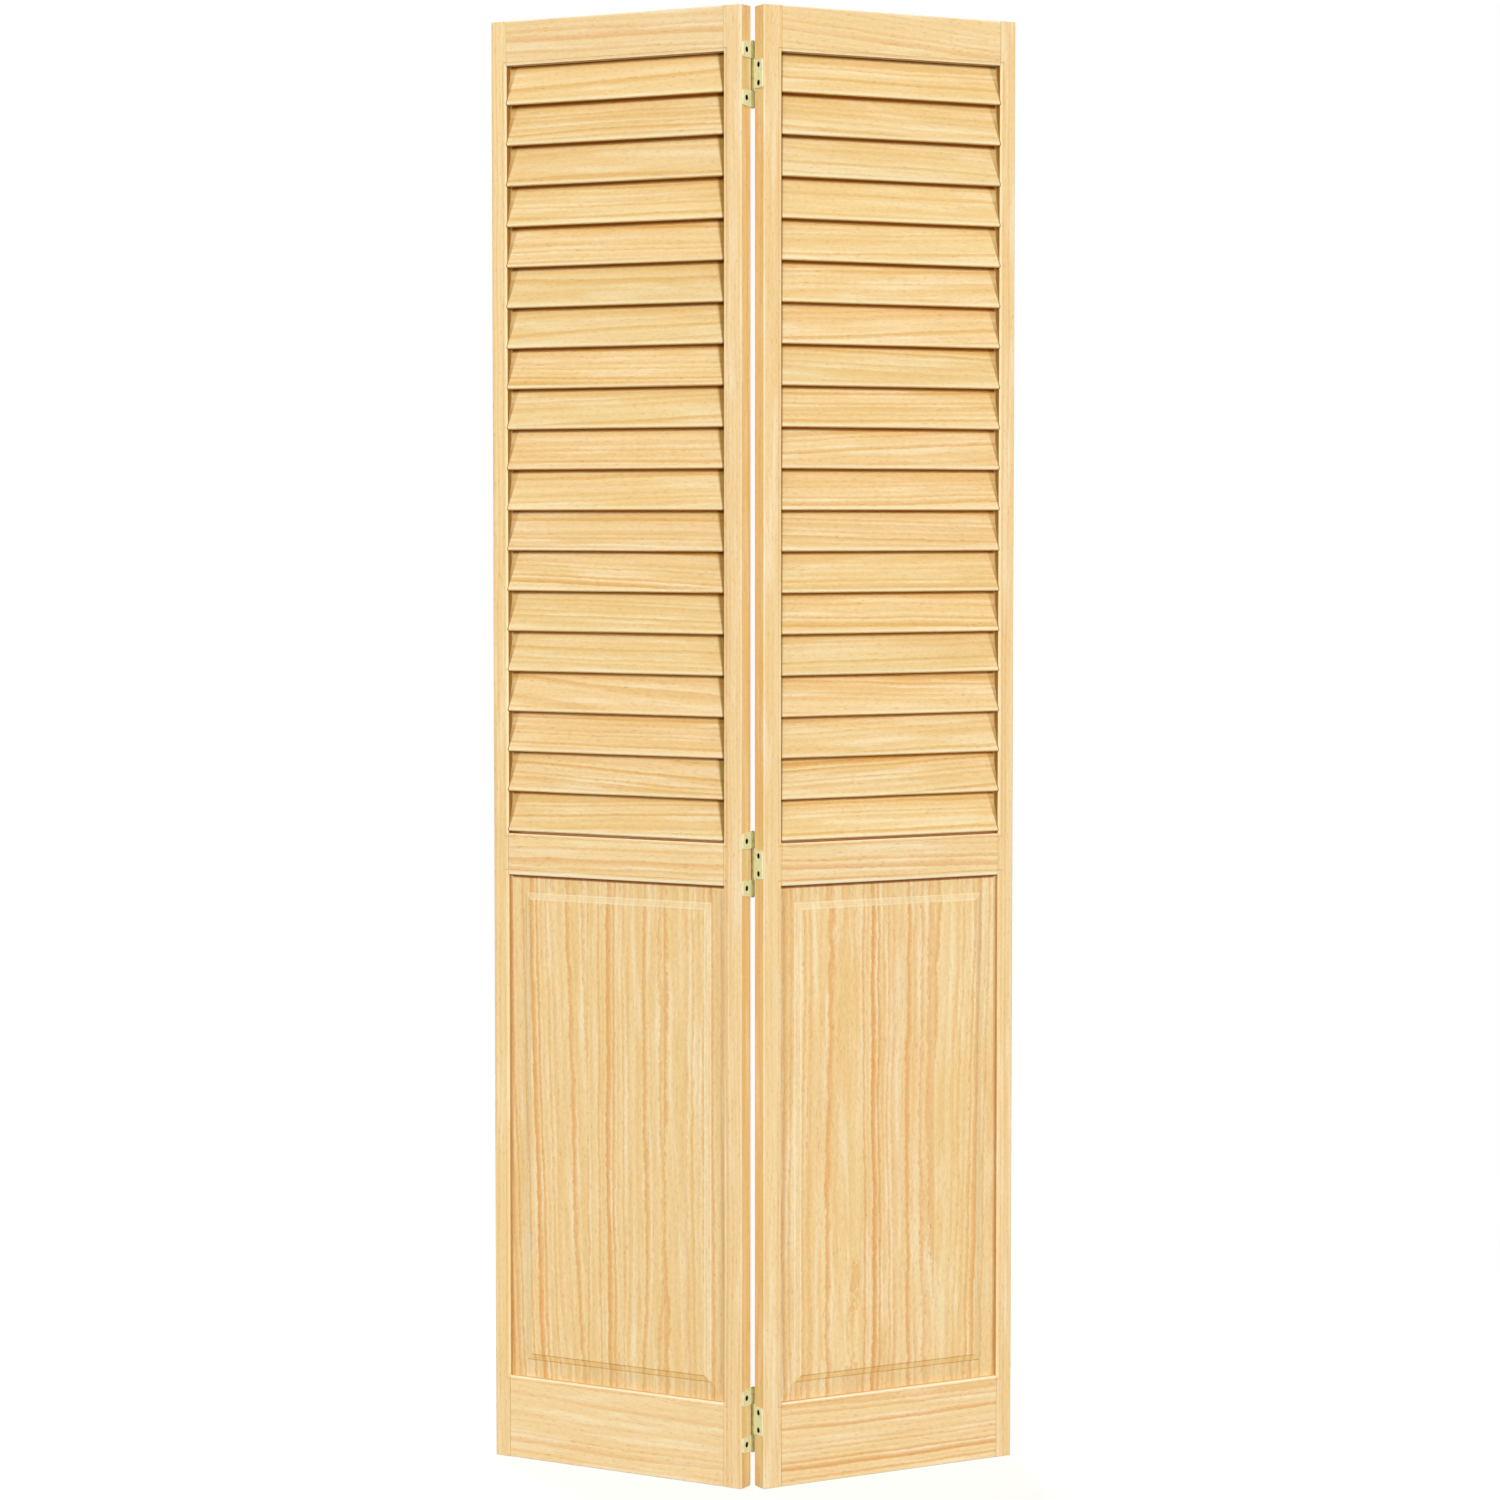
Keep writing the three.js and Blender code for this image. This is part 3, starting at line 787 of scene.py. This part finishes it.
def write_grain(solid, cuts, finish_and_painted_light_of=lambda *_: "plain", painted_shade_of=lambda *_: NO_PAINTED_SHADE,
                tone_of=lambda _: (1.0, 1.0), seams=()):
    """Stores what the pine reads for each point of each face.

    There is one cut for each stave between the seams. Of the three functions, the first names a kind of face
    or gives its shares of paleness, partly a painted highlight, and of deeper colour, partly painted shade;
    the second gives the corner of painted shade; and tone_of a face's lightness and figure against the rest
    of the stave.
    """
    solid.normal_update()
    grain = solid.loops.layers.float_vector.new("grain")
    tone = solid.faces.layers.float_vector.new("tone")
    finish_and_painted_light = solid.loops.layers.float_vector.new("finish_and_painted_light")
    painted_shade = solid.loops.layers.float_vector.new("painted_shade")
    for face in solid.faces:
        x = face.calc_center_median().x
        cut = cuts[sum(x > seam for seam in seams)]
        lightness, warmth, figure = cut.tone
        lightness_share, figure_share = tone_of(face)
        face[tone] = (lightness * lightness_share, warmth, figure * figure_share)
        end_grain = abs(face.normal[cut.axes[0]]) ** END_GRAIN_POWER
        for loop in face.loops:
            point = loop.vert.co
            shares = finish_and_painted_light_of(face, point)
            eased_and_highlight, edge = FINISH_AND_PAINTED_LIGHT_SHARES[shares] if isinstance(shares, str) else shares
            loop[grain] = cut.grain(point)
            loop[finish_and_painted_light] = (eased_and_highlight, end_grain, edge)
            loop[painted_shade] = painted_shade_of(face, point)


def is_arris(face):
    return max(abs(component) for component in face.normal) < FLATTEST_ARRIS and not is_wide(face)


def slat_finish_and_painted_light(face, point, foot, head, foot_cover, head_cover):
    """A slat is deeper in colour towards the recesses under its neighbours and on the tops and feet of its
    noses, a painted shade, and paler on the fronts of its noses and just beside them, partly as sanded wood
    and partly as a painted highlight.
    """
    y, z = face.normal.y, face.normal.z
    if abs(y) > SQUARE and y * z > SLAT_SLOPE:
        depth = head_cover - point.z if y > 0 else point.z - foot_cover
        out = point.z - foot if y > 0 else head - point.z
        eased_and_highlight = float(np.interp(out, NOSE_LEVELS, NOSE_SHARES))
        return eased_and_highlight, float(np.interp(depth, RECESS_DEPTHS, RECESS_SHARES))
    turn = z if y > 0 else -z
    if abs(y) < NOSE_SQUARE or turn > NOSE_TOP:
        return "recess"
    return "open nose" if turn > NOSE_FOOT else "nose foot"


def bevel_side(face):
    """The side of the panel whose bevel a face belongs to, if it slopes."""
    x, y, z = face.normal
    if not LEANING < abs(y) < FLAT:
        return None
    if abs(z) > SIDEWAYS:
        return "head" if z > 0 else "foot"
    return "hinge" if x < 0 else "outer"


def panel_bevel_painted_light(face, point):
    """The bevels are paler, a painted highlight, least of all by the outer stile, but the one at the foot,
    which faces down, is deeper, a painted shade.
    """
    side = bevel_side(face)
    if side is None:
        return "plain"
    slope, step = BEVEL_PAINTED_LIGHT_SHARES[side]
    return step if abs(face.normal.y) < SQUARE else slope


class Joinery:
    """The places of one leaf's openings, slats, panel, dowels and screws, and the solids that cut them."""

    def __init__(self, leaf, plates):
        word = leaf.word
        self.leaf = leaf
        self.hinge_low, self.hinge_high = leaf.span(f"{word}_hinge_stile")
        self.outer_low, self.outer_high = leaf.span(f"{word}_outer_stile")
        self.back, self.front = self.hinge_low.y, self.hinge_high.y
        self.rails = {rail: self.rail_span(f"{word}_{rail}") for rail in RAILS}
        self.middle = sum(corner.z for corner in self.rails["mid_rail"]) / 2
        self.slats = sorted(n for n in frame["nodes"] if n.startswith(f"{word}_slat"))
        self.dowels = [dowel for rail in self.rails for dowel in self.dowels_of(rail)]
        self.screws = [place for plate in plates for place in screw_places(leaf, plate)]
        self.openings_at = [
            (self.rails["bottom_rail"][1].z, self.rails["mid_rail"][0].z),
            (self.rails["mid_rail"][1].z, self.rails["top_rail"][0].z),
        ]
        self.openings = self.opening_cutter()
        self.joints = self.joint_cutter()

    def rail_span(self, node):
        """The rail's own corners without its dowels, whose ends stand out of it along x."""
        points = self.leaf.points(node)
        face = points[points[:, Y_AXIS] > points[:, Y_AXIS].max() - TINY]
        low, high = points.min(axis=0), points.max(axis=0)
        low[X_AXIS], high[X_AXIS] = face[:, X_AXIS].min(), face[:, X_AXIS].max()
        return Vector(low), Vector(high)

    def dowels_of(self, rail):
        """Each dowel of a rail as (name, start x, end x, height, radius)."""
        points = self.leaf.points(f"{self.leaf.word}_{rail}")
        low, high = self.rails[rail]
        heights = np.sort(points[points[:, X_AXIS] < low.x - TINY][:, Z_AXIS])
        gap = int(np.argmax(np.diff(heights))) + 1
        tip, far_tip = points[:, X_AXIS].min(), points[:, X_AXIS].max()
        found = []
        for place, group in (("lower", heights[:gap]), ("upper", heights[gap:])):
            height, radius = (group.min() + group.max()) / 2, (group.max() - group.min()) / 2
            found.append((f"{rail}_inner_{place}_dowel", tip, 2 * low.x - tip, height, radius))
            found.append((f"{rail}_outer_{place}_dowel", 2 * high.x - far_tip, far_tip, height, radius))
        return found

    def slat_outline(self, node, grow, back_levels=(), front_levels=()):
        low, high = self.leaf.span(node)
        centre = (low + high) / 2
        run = high.y - low.y - SLAT_THICKNESS
        rise = high.z - low.z - SLAT_THICKNESS
        radius = SLAT_THICKNESS / 2 + grow
        return stadium((centre.y, centre.z), run, rise, radius, back_levels, front_levels)

    def opening_cutter(self):
        """Rounds the edges of both openings, front and back, with a fine quirk round each."""
        left, right = self.hinge_high.x, self.outer_low.x
        steps = [(-OVERRUN, OPENING_EDGE + OVERRUN)]
        steps += arc((OPENING_EDGE, OPENING_EDGE), OPENING_EDGE, 180, 270)
        quirk = OPENING_EDGE + QUIRK_LAND
        steps += [(quirk, 0), (quirk + QUIRK_WIDTH / 2, QUIRK_DEPTH), (quirk + QUIRK_WIDTH, 0)]
        steps.append((quirk + QUIRK_WIDTH, -OVERRUN))
        solids = []
        for (foot, head), head_share in zip(self.openings_at, HEAD_EDGE_SHARES):
            for face, inwards in ((self.front, -1), (self.back, 1)):
                rings = []
                for grow, depth in steps:
                    top = head + head_share * min(grow, OPENING_EDGE) + max(grow - OPENING_EDGE, 0)
                    y = face + inwards * depth
                    rings.append(facing_rectangle(left - grow, right + grow, foot - grow, top, y))
                solids.append(loft(rings))
        return joined(solids)

    def joint_cutter(self):
        """Mortises for the slats, the panel's groove, and the bores of dowels and screws."""
        solids = []
        for node in self.slats:
            low, high = self.leaf.span(node)
            solids.append(prism(self.slat_outline(node, FIT_GAP), low.x - FIT_GAP, high.x + FIT_GAP, along_x))
        panel = f"{self.leaf.word}_panel"
        low, high = self.leaf.span(panel)
        depths = levels(self.leaf.points(panel)[:, Y_AXIS])
        grow = Vector((GROOVE_SLACK, FIT_GAP, GROOVE_SLACK))
        tongue_low = Vector((low.x, depths[1], low.z)) - grow
        tongue_high = Vector((high.x, depths[2], high.z)) + grow
        solids.append(box(tongue_low, tongue_high))
        middle = (self.front + self.back) / 2
        for _, start, end, height, radius in self.dowels:
            outline = circle((middle, height), radius + FIT_GAP)
            solids.append(prism(outline, start - FIT_GAP, end + FIT_GAP, along_x))
        for y, z, tip in self.screws:
            outline = circle((y, z), SCREW_RADIUS + FIT_GAP)
            solids.append(prism(outline, self.hinge_low.x - OVERRUN, tip + FIT_GAP, along_x))
        return joined(solids)

    def is_quirk(self, face):
        """Whether a narrow face belongs to the quirk round an opening."""
        centre = face.calc_center_median()
        aside = max(self.hinge_high.x - centre.x, centre.x - self.outer_low.x)
        gaps = []
        for (foot, head), head_share in zip(self.openings_at, HEAD_EDGE_SHARES):
            above = centre.z - head - (head_share - 1) * OPENING_EDGE
            gaps.append(max(aside, foot - centre.z, above) - OPENING_EDGE)
        return QUIRK_LAND / 2 < min(gaps) < QUIRK_LAND + QUIRK_WIDTH

    def is_wall(self, face):
        """Whether a face of a stile looks into the openings."""
        centre = face.calc_center_median()
        return abs(face.normal.x) > SQUARE and self.hinge_high.x - TINY < centre.x < self.outer_low.x + TINY

    def is_louver_side(self, face):
        return face.calc_center_median().z > self.middle

    def stile_finish_and_painted_light(self, face, point):
        """Arrises are paler, partly as sanded wood and partly as a painted highlight. Edges are deeper,
        partly as edge grain and partly as painted shade; the quirks and the walls are deeper as painted
        shade, most of all the walls beside the panel.
        """
        is_louver_side = self.is_louver_side(face)
        if is_arris(face):
            if self.is_quirk(face):
                return "stile quirk"
            centre = face.calc_center_median()
            inner, outer = self.hinge_high.x - OPENING_EDGE, self.outer_low.x + OPENING_EDGE
            is_opening = inner - TINY < centre.x < outer + TINY
            return "louver arris" if is_opening and is_louver_side else "stile arris"
        if self.is_wall(face):
            return "louver wall" if is_louver_side else "panel wall"
        return "stile edge" if abs(face.normal.x) > SQUARE else "plain"

    def stile_painted_shade(self, face, point):
        """Painted shade on the walls, which grows towards the back."""
        if not self.is_wall(face):
            return NO_PAINTED_SHADE
        return self.front - point.y, WALL_PAINTED_SHADE, (1.0 if self.is_louver_side(face) else PANEL_WALL_SHARE)

    def rail_finish_and_painted_light(self, face, point):
        """Arrises are paler, partly as sanded wood and partly as a painted highlight, and so are the quirks'
        down-facing faces. The ends are deeper, as dark joint lines and painted shade. The undersides, the
        quirks' other faces, the down-facing rounding at the head of each opening and the sill behind the
        lowest slat are deeper, a painted shade.
        """
        height = face.calc_center_median().z
        z = face.normal.z
        opening = int(height > self.middle)
        if z > SILL_SLOPE and abs(height - self.openings_at[1][0]) < OPENING_EDGE:
            return "recess"
        if not is_arris(face):
            return "rail underside" if z < -SQUARE else "plain"
        above_head = height - self.openings_at[opening][1]
        if z < -HEAD_SLOPES[opening] and -TINY < above_head < 2 * OPENING_EDGE:
            return "recess"
        if self.is_quirk(face):
            return "head quirk" if z < 0 else "rail quirk"
        if abs(face.normal.x) > LEANING:
            return "rail end"
        is_panel_side = self.openings_at[0][0] - OPENING_EDGE < height < self.middle
        return "opening arris" if is_panel_side or (opening and z < 0) else "rail arris"

    def slat_painted_shade(self, face, point):
        """The corners of painted shade where a slat goes in behind the hinge stile and beside the outer one.
        """
        depth = self.front - point.y
        if face.normal.y < 0:
            return NO_PAINTED_SHADE
        if face.calc_center_median().x > (self.hinge_high.x + self.outer_low.x) / 2:
            strength = float(np.interp(depth, SLAT_END_DEPTHS, SLAT_END_DEPTH_SHARES))
            return self.outer_low.x - point.x, depth * SLAT_END_SHARE, strength
        reach = (SLAT_PAINTED_SHADE_START + depth) * SLAT_PAINTED_SHADE_SHARES[self.leaf.word]
        return point.x - self.hinge_high.x, reach, 1.0

    def panel_gaps(self, point):
        """How far inside each side of the panel's opening a point lies."""
        foot, head = self.openings_at[0]
        return {
            "foot": point.z - foot,
            "head": head - point.z,
            "hinge": point.x - self.hinge_high.x,
            "outer": self.outer_low.x - point.x,
        }

    def panel_side(self, face):
        """The side of the opening that a flat margin of the panel lies along, if it is a margin."""
        gaps = self.panel_gaps(face.calc_center_median())
        side = min(gaps, key=gaps.get)
        return side if gaps[side] < PANEL_BAND and abs(face.normal.y) > FLAT else None

    def panel_painted_shade(self, face, point):
        """A painted shade: the dark line under the mid rail and the softer shade beside each stile."""
        side = self.panel_side(face)
        if side not in PANEL_PAINTED_SHADES:
            return NO_PAINTED_SHADE
        return (self.panel_gaps(point)[side], *PANEL_PAINTED_SHADES[side])

    def panel_tone(self, face):
        """The lightness and figure of a face of the panel, against the rest of the stave. The sunken margins
        are darker, a painted shade.
        """
        side = self.panel_side(face)
        if side:
            return MARGIN_SHARES[side]
        return BEVEL_TONE_SHARES.get(bevel_side(face), (1.0, 1.0))

    def cut(self, solid):
        return combined(combined(solid, self.openings), self.joints)


def screw_places(leaf, node):
    """The (y, z) of each screw in a hinge plate and the x of its tip."""
    points = leaf.points(node)
    tip = points[:, X_AXIS].max()
    tips = points[points[:, X_AXIS] > tip - TINY]
    heights = levels(tips[:, Z_AXIS])
    return [(tips[tips[:, Z_AXIS] < height + TINY][-1][Y_AXIS], height, tip) for height in heights]


def build_stile(work, word, *radii):
    leaf = work.leaf
    node = f"{leaf.word}_{word}"
    low, high = leaf.span(node)
    solid = work.cut(board((low.x, low.y), (high.x, high.y), radii, along_z, (low.z, high.z)))
    bisect(solid, (0, 0, work.middle), (0, 0, 1))
    cut = Cut(UPRIGHT, (low + high) / 2, SAWINGS["stile"])
    write_grain(solid, [cut], work.stile_finish_and_painted_light, work.stile_painted_shade)
    add_piece(leaf, node + "_wood", solid, [stile_pine], [node])


def build_rail(work, rail, foot_edge, head_edge):
    leaf = work.leaf
    node = f"{leaf.word}_{rail}"
    low, high = work.rails[rail]
    radii = (foot_edge, foot_edge, head_edge, head_edge)
    solid = work.cut(board((low.y, low.z), (high.y, high.z), radii, along_x, (low.x, high.x)))
    cut = Cut(LEVEL, (low + high) / 2, SAWINGS["rail"]._replace(**RAIL_TONES.get(node, {})))
    write_grain(solid, [cut], work.rail_finish_and_painted_light)
    add_piece(leaf, node + "_wood", solid, [rail_pine], [node])


def build_dowels(work):
    middle = (work.front + work.back) / 2
    for name, start, end, height, radius in work.dowels:
        solid = eased_cylinder(radius, start, end, DOWEL_CHAMFER, (middle, height), along_x)
        write_grain(solid, [Cut(LEVEL, ((start + end) / 2, middle, height), SAWINGS["dowel"])])
        add_piece(work.leaf, f"{work.leaf.word}_{name}", solid, [rail_pine])


def build_slats(work):
    spans = [work.leaf.span(node) for node in work.slats]
    head_covers = [work.rails["top_rail"][0].z, *[low.z for low, _ in spans[:-1]]]
    foot_covers = [*[high.z for _, high in spans[1:]], work.rails["mid_rail"][1].z]
    for node, (low, high), foot, head in zip(work.slats, spans, foot_covers, head_covers):
        back_levels = [foot + depth for depth in RECESS_DEPTHS] + [high.z - NOSE_LEVELS[-1]]
        front_levels = [head - depth for depth in RECESS_DEPTHS] + [low.z + NOSE_LEVELS[-1]]
        solid = prism(work.slat_outline(node, 0, back_levels, front_levels), low.x, high.x, along_x)
        middle = (low + high) / 2
        bisect(solid, middle, (1, 0, 0))
        finish_and_painted_light = partial(slat_finish_and_painted_light, foot=low.z, head=high.z, foot_cover=foot, head_cover=head)
        write_grain(solid, [Cut(LEVEL, middle, SAWINGS["slat"])], finish_and_painted_light, work.slat_painted_shade)
        add_piece(work.leaf, node + "_wood", solid, [slat_pine], [node])


def build_panel(work):
    """A raised panel of edge-glued staves, with a small step at each side of its sloping bevel."""
    leaf = work.leaf
    node = f"{leaf.word}_panel"
    points = leaf.points(node)
    low, high = leaf.span(node)
    insets = levels(points[:, X_AXIS])[:3] - low.x
    back_field, back_margin, front_margin, front_field = levels(points[:, Y_AXIS])
    rings = []
    for margin, field in ((front_margin, front_field), (back_margin, back_field)):
        outwards = 1 if field > margin else -1
        side = [(TONGUE_EASE, margin), (0, margin - outwards * TONGUE_EASE)]
        for along, up in BEVEL_SHARES:
            inset = insets[1] + along * (insets[2] - insets[1])
            side.insert(0, (inset, margin + up * (field - margin)))
        rings.append(side)
    profile = rings[0] + rings[1][::-1]
    solid = loft([facing_rectangle(low.x + i, high.x - i, low.z + i, high.z - i, y) for i, y in profile])
    seams = [low.x + share * (high.x - low.x) for share in STAVE_SHARES[leaf.word]]
    for seam in seams:
        bisect(solid, (seam, 0, 0), (1, 0, 0))
    bounds = [low.x, *seams, high.x]
    _, y, z = (low + high) / 2
    centres = [((start + end) / 2, y, z) for start, end in zip(bounds, bounds[1:])]
    cuts = [Cut(UPRIGHT, centre, SAWINGS["stave"]) for centre in centres]
    write_grain(solid, cuts, panel_bevel_painted_light, work.panel_painted_shade, work.panel_tone, seams)
    add_piece(leaf, node + "_wood", solid, [panel_pine], [node])


def barrel(radius, foot, head):
    return eased_cylinder(radius, foot, head, PLATE_EDGE, (0, 0), along_z)


def plate_tab(reach, foot, head, tapers, faces, screws):
    """A tab from the pin out to reach, with softened edges, round corners and a countersunk hole for each
    screw. The tapers pull the corners of its tip in."""
    corner = PLATE_CORNER
    tip_foot, tip_head = foot + tapers[0], head - tapers[1]
    outline = [
        (0, foot),
        *arc((reach - corner, tip_foot + corner), corner, 270, 360),
        *arc((reach - corner, tip_head - corner), corner, 0, 90),
        (0, head),
    ]
    middle = Vector((sum(a for a, _ in outline), sum(b for _, b in outline))) / len(outline)
    open_x, seat_x = faces
    rings = []
    for x, inset in ((open_x, PLATE_EDGE), (open_x + PLATE_EDGE, 0), (seat_x, 0)):
        ring = [Vector(point) - (Vector(point) - middle).normalized() * inset for point in outline]
        rings.append([(x, *point) for point in ring])
    solid = loft(rings)
    for y, z, _ in screws:
        profile = [
            (SINK_RADIUS + OVERRUN, open_x - OVERRUN),
            (SINK_RADIUS, open_x),
            (SINK_FLOOR_RADIUS, open_x + (seat_x - open_x) * SINK_DEPTH_SHARE),
            (SINK_FLOOR_RADIUS, seat_x + OVERRUN),
        ]
        solid = combined(solid, turned(profile, (y, z), along_x))
    return solid


def build_plate(work, word, side):
    """The outer plate has two tabs, each with a barrel, and a thin spine that joins them behind the inner
    plate, which has one tab and one barrel. The barrels take a darker brass, a painted shade for their place
    between the leaves."""
    node = f"{word}_hinge_{side}_plate"
    low, high = work.leaf.span(node)
    points = work.leaf.points(node)
    tip = points[points[:, Y_AXIS] > points[:, Y_AXIS].max() - TINY]
    faces = (tip[:, X_AXIS].min(), work.hinge_low.x - PLATE_SEAT_GAP)
    screws = screw_places(work.leaf, node)
    if side == "outer":
        lower_head, upper_foot = low.z + TAB_HEIGHT, high.z - TAB_HEIGHT
        spine = (
            arc((0, 0), BARREL_RADIUS, -SPINE_HALF_ANGLE, SPINE_HALF_ANGLE)
            + arc((0, 0), SPINE_RADIUS, SPINE_HALF_ANGLE, -SPINE_HALF_ANGLE)
        )
        parts = [
            plate_tab(high.y, upper_foot, high.z, (0, TAB_TAPER), faces, screws[1:]),
            plate_tab(high.y, low.z, lower_head, (TAB_TAPER, 0), faces, screws[:1]),
            barrel(BARREL_RADIUS, upper_foot, high.z),
            barrel(BARREL_RADIUS, low.z, lower_head),
            prism(spine, low.z, high.z, along_z),
        ]
    else:
        middle, half = (low.z + high.z) / 2, INNER_PLATE_HEIGHT / 2
        parts = [
            plate_tab(high.y, middle - half, middle + half, (0, 0), faces, screws),
            barrel(INNER_BARREL_RADIUS, low.z, high.z),
        ]
    solid = parts[0]
    for part in parts[1:]:
        solid = combined(solid, part, "UNION")
    bore = prism(circle((0, 0), PIN_BORE_RADIUS), low.z - OVERRUN, high.z + OVERRUN, along_z)
    solid = combined(solid, bore)
    # The barrels take the darker brass, a painted shade
    for face in solid.faces:
        centre = face.calc_center_median()
        face.material_index = int(math.hypot(centre.x, centre.y) < BARREL_RADIUS + TINY)
    add_piece(work.leaf, f"{word}_{side}_plate", solid, [plate_brass, shaded_barrel_brass], [node])
    for index, screw in enumerate(screws):
        build_screw(work.leaf, f"{word}_{side}_screw_{index + 1}", *screw, *faces)


def build_screw(leaf, name, y, z, tip, open_x, seat_x):
    """A countersunk screw with a thread and a cross recess."""
    face = open_x + SCREW_HEAD_DROP
    neck = open_x + (seat_x - open_x) * SINK_DEPTH_SHARE
    profile = [
        (SCREW_HEAD_RADIUS - SCREW_HEAD_LIP, face),
        (SCREW_HEAD_RADIUS, face + SCREW_HEAD_LIP),
        (SCREW_RADIUS, neck + SCREW_COLLAR),
    ]
    thread_start = neck + 2 * SCREW_COLLAR
    step = (tip - SCREW_TIP - thread_start) / SCREW_THREADS
    for turn in range(SCREW_THREADS):
        x = thread_start + turn * step
        profile += [(SCREW_CORE_RADIUS, x), (SCREW_RADIUS, x + step / 2)]
    profile += [(SCREW_CORE_RADIUS, tip - SCREW_TIP), (SCREW_TIP_RADIUS, tip)]
    solid = turned(profile, (y, z), along_x)
    floor = face + CROSS_DEPTH
    for along, aside in ((CROSS_REACH, CROSS_WIDTH / 2), (CROSS_WIDTH / 2, CROSS_REACH)):
        solid = combined(solid, box((face - OVERRUN, y - along, z - aside), (floor, y + along, z + aside)))
    # The faces inside the cross recess take the near-black brown, a painted shade
    for facet in solid.faces:
        centre = facet.calc_center_median()
        inside = max(abs(centre.y - y), abs(centre.z - z)) < CROSS_REACH + TINY
        facet.material_index = int(inside and face + TINY < centre.x < floor + TINY)
    add_piece(leaf, name, solid, [screw_metal, cross_metal])


def build_pin(work, word):
    node = f"{word}_hinge_pin"
    low, high = work.leaf.span(node)
    ease = PIN_HEAD_HEIGHT / 4
    head = [
        (PIN_RADIUS, 0),
        (PIN_HEAD_RADIUS - ease, ease),
        (PIN_HEAD_RADIUS, 2 * ease),
        (PIN_HEAD_RADIUS, PIN_HEAD_HEIGHT),
        (PIN_RADIUS, PIN_HEAD_HEIGHT),
    ]
    profile = [(radius, low.z + rise) for radius, rise in head]
    profile += [(radius, high.z - rise) for radius, rise in reversed(head)]
    add_piece(work.leaf, f"{word}_pin", turned(profile, (0, 0), along_z), [pin_brass], [node])


stile_pine = pine("stile_pine", ORANGE_LATE_WOOD, ring_spacing=5.2 * MM, figure=0.55, contrast=0.2,
                  raggedness=1.6 * MM, fray=0.3 * MM, depth_of_colour=0.6)
rail_pine = pine("rail_pine", ORANGE_LATE_WOOD, ring_spacing=8 * MM, figure=0.95, contrast=0.22,
                 raggedness=2.2 * MM, fray=0.2 * MM, depth_of_colour=0.25)
slat_pine = pine("slat_pine", YELLOW_LATE_WOOD, ring_spacing=8 * MM, figure=1.0, contrast=0.24,
                 raggedness=1.8 * MM, fray=0.4 * MM, depth_of_colour=0.85)
panel_pine = pine("panel_pine", ORANGE_LATE_WOOD, ring_spacing=7.5 * MM, figure=0.95, contrast=0.34,
                  raggedness=4.2 * MM, fray=2.6 * MM, depth_of_colour=0.8, shade=RUDDY_SHADE_TINT)
plate_brass = metal("plate_brass", BRASS, DULL_BRASS, roughness=0.4, metallic=0.15, gloss=0.5)
# The darker brass of the barrels and pins is a painted shade
shaded_barrel_brass = metal("shaded_barrel_brass", SHADED_BARREL_BRASS, SHADED_BARREL_DULL, roughness=0.5, metallic=0.3, gloss=0.3)
pin_brass = metal("pin_brass", SHADED_BARREL_BRASS, DULL_BRASS, roughness=0.34, metallic=0.85, gloss=0.5)
screw_metal = metal("screw_metal", SCREW_BROWN, CROSS_BROWN, roughness=0.7, metallic=0.0, gloss=0.05)
# The near-black inside the cross recess is a painted shade
cross_metal = metal("recess_metal", CROSS_BROWN, CROSS_BROWN, roughness=0.8, metallic=0.0, gloss=0.05)

HINGES = ("top", "middle", "bottom")
PLATES = {"left": "outer", "right": "inner"}
for leaf_word, leaf_side in (("left", -1), ("right", 1)):
    plates = [f"{hinge}_hinge_{PLATES[leaf_word]}_plate" for hinge in HINGES]
    joinery = Joinery(Leaf(leaf_word, leaf_side), plates)
    build_stile(joinery, "hinge_stile", HINGE_BACK_EDGE, JOINT_EDGE, JOINT_EDGE, FREE_EDGE)
    build_stile(joinery, "outer_stile", JOINT_EDGE, FREE_EDGE, FREE_EDGE, JOINT_EDGE)
    build_rail(joinery, "top_rail", JOINT_EDGE, FREE_EDGE)
    build_rail(joinery, "mid_rail", JOINT_EDGE, JOINT_EDGE)
    build_rail(joinery, "bottom_rail", FREE_EDGE, JOINT_EDGE)
    build_dowels(joinery)
    build_slats(joinery)
    build_panel(joinery)
    for hinge in HINGES:
        build_plate(joinery, hinge, PLATES[leaf_word])
        if leaf_word == "left":
            build_pin(joinery, hinge)

make_floor()
make_world()
make_sun("key", KEY_TURN, KEY_HEIGHT, KEY_STRENGTH, KEY_SOFTNESS)
make_sun("rim", RIM_TURN, RIM_HEIGHT, RIM_STRENGTH, RIM_SOFTNESS)
bpy.context.scene.view_settings.view_transform = "Standard"
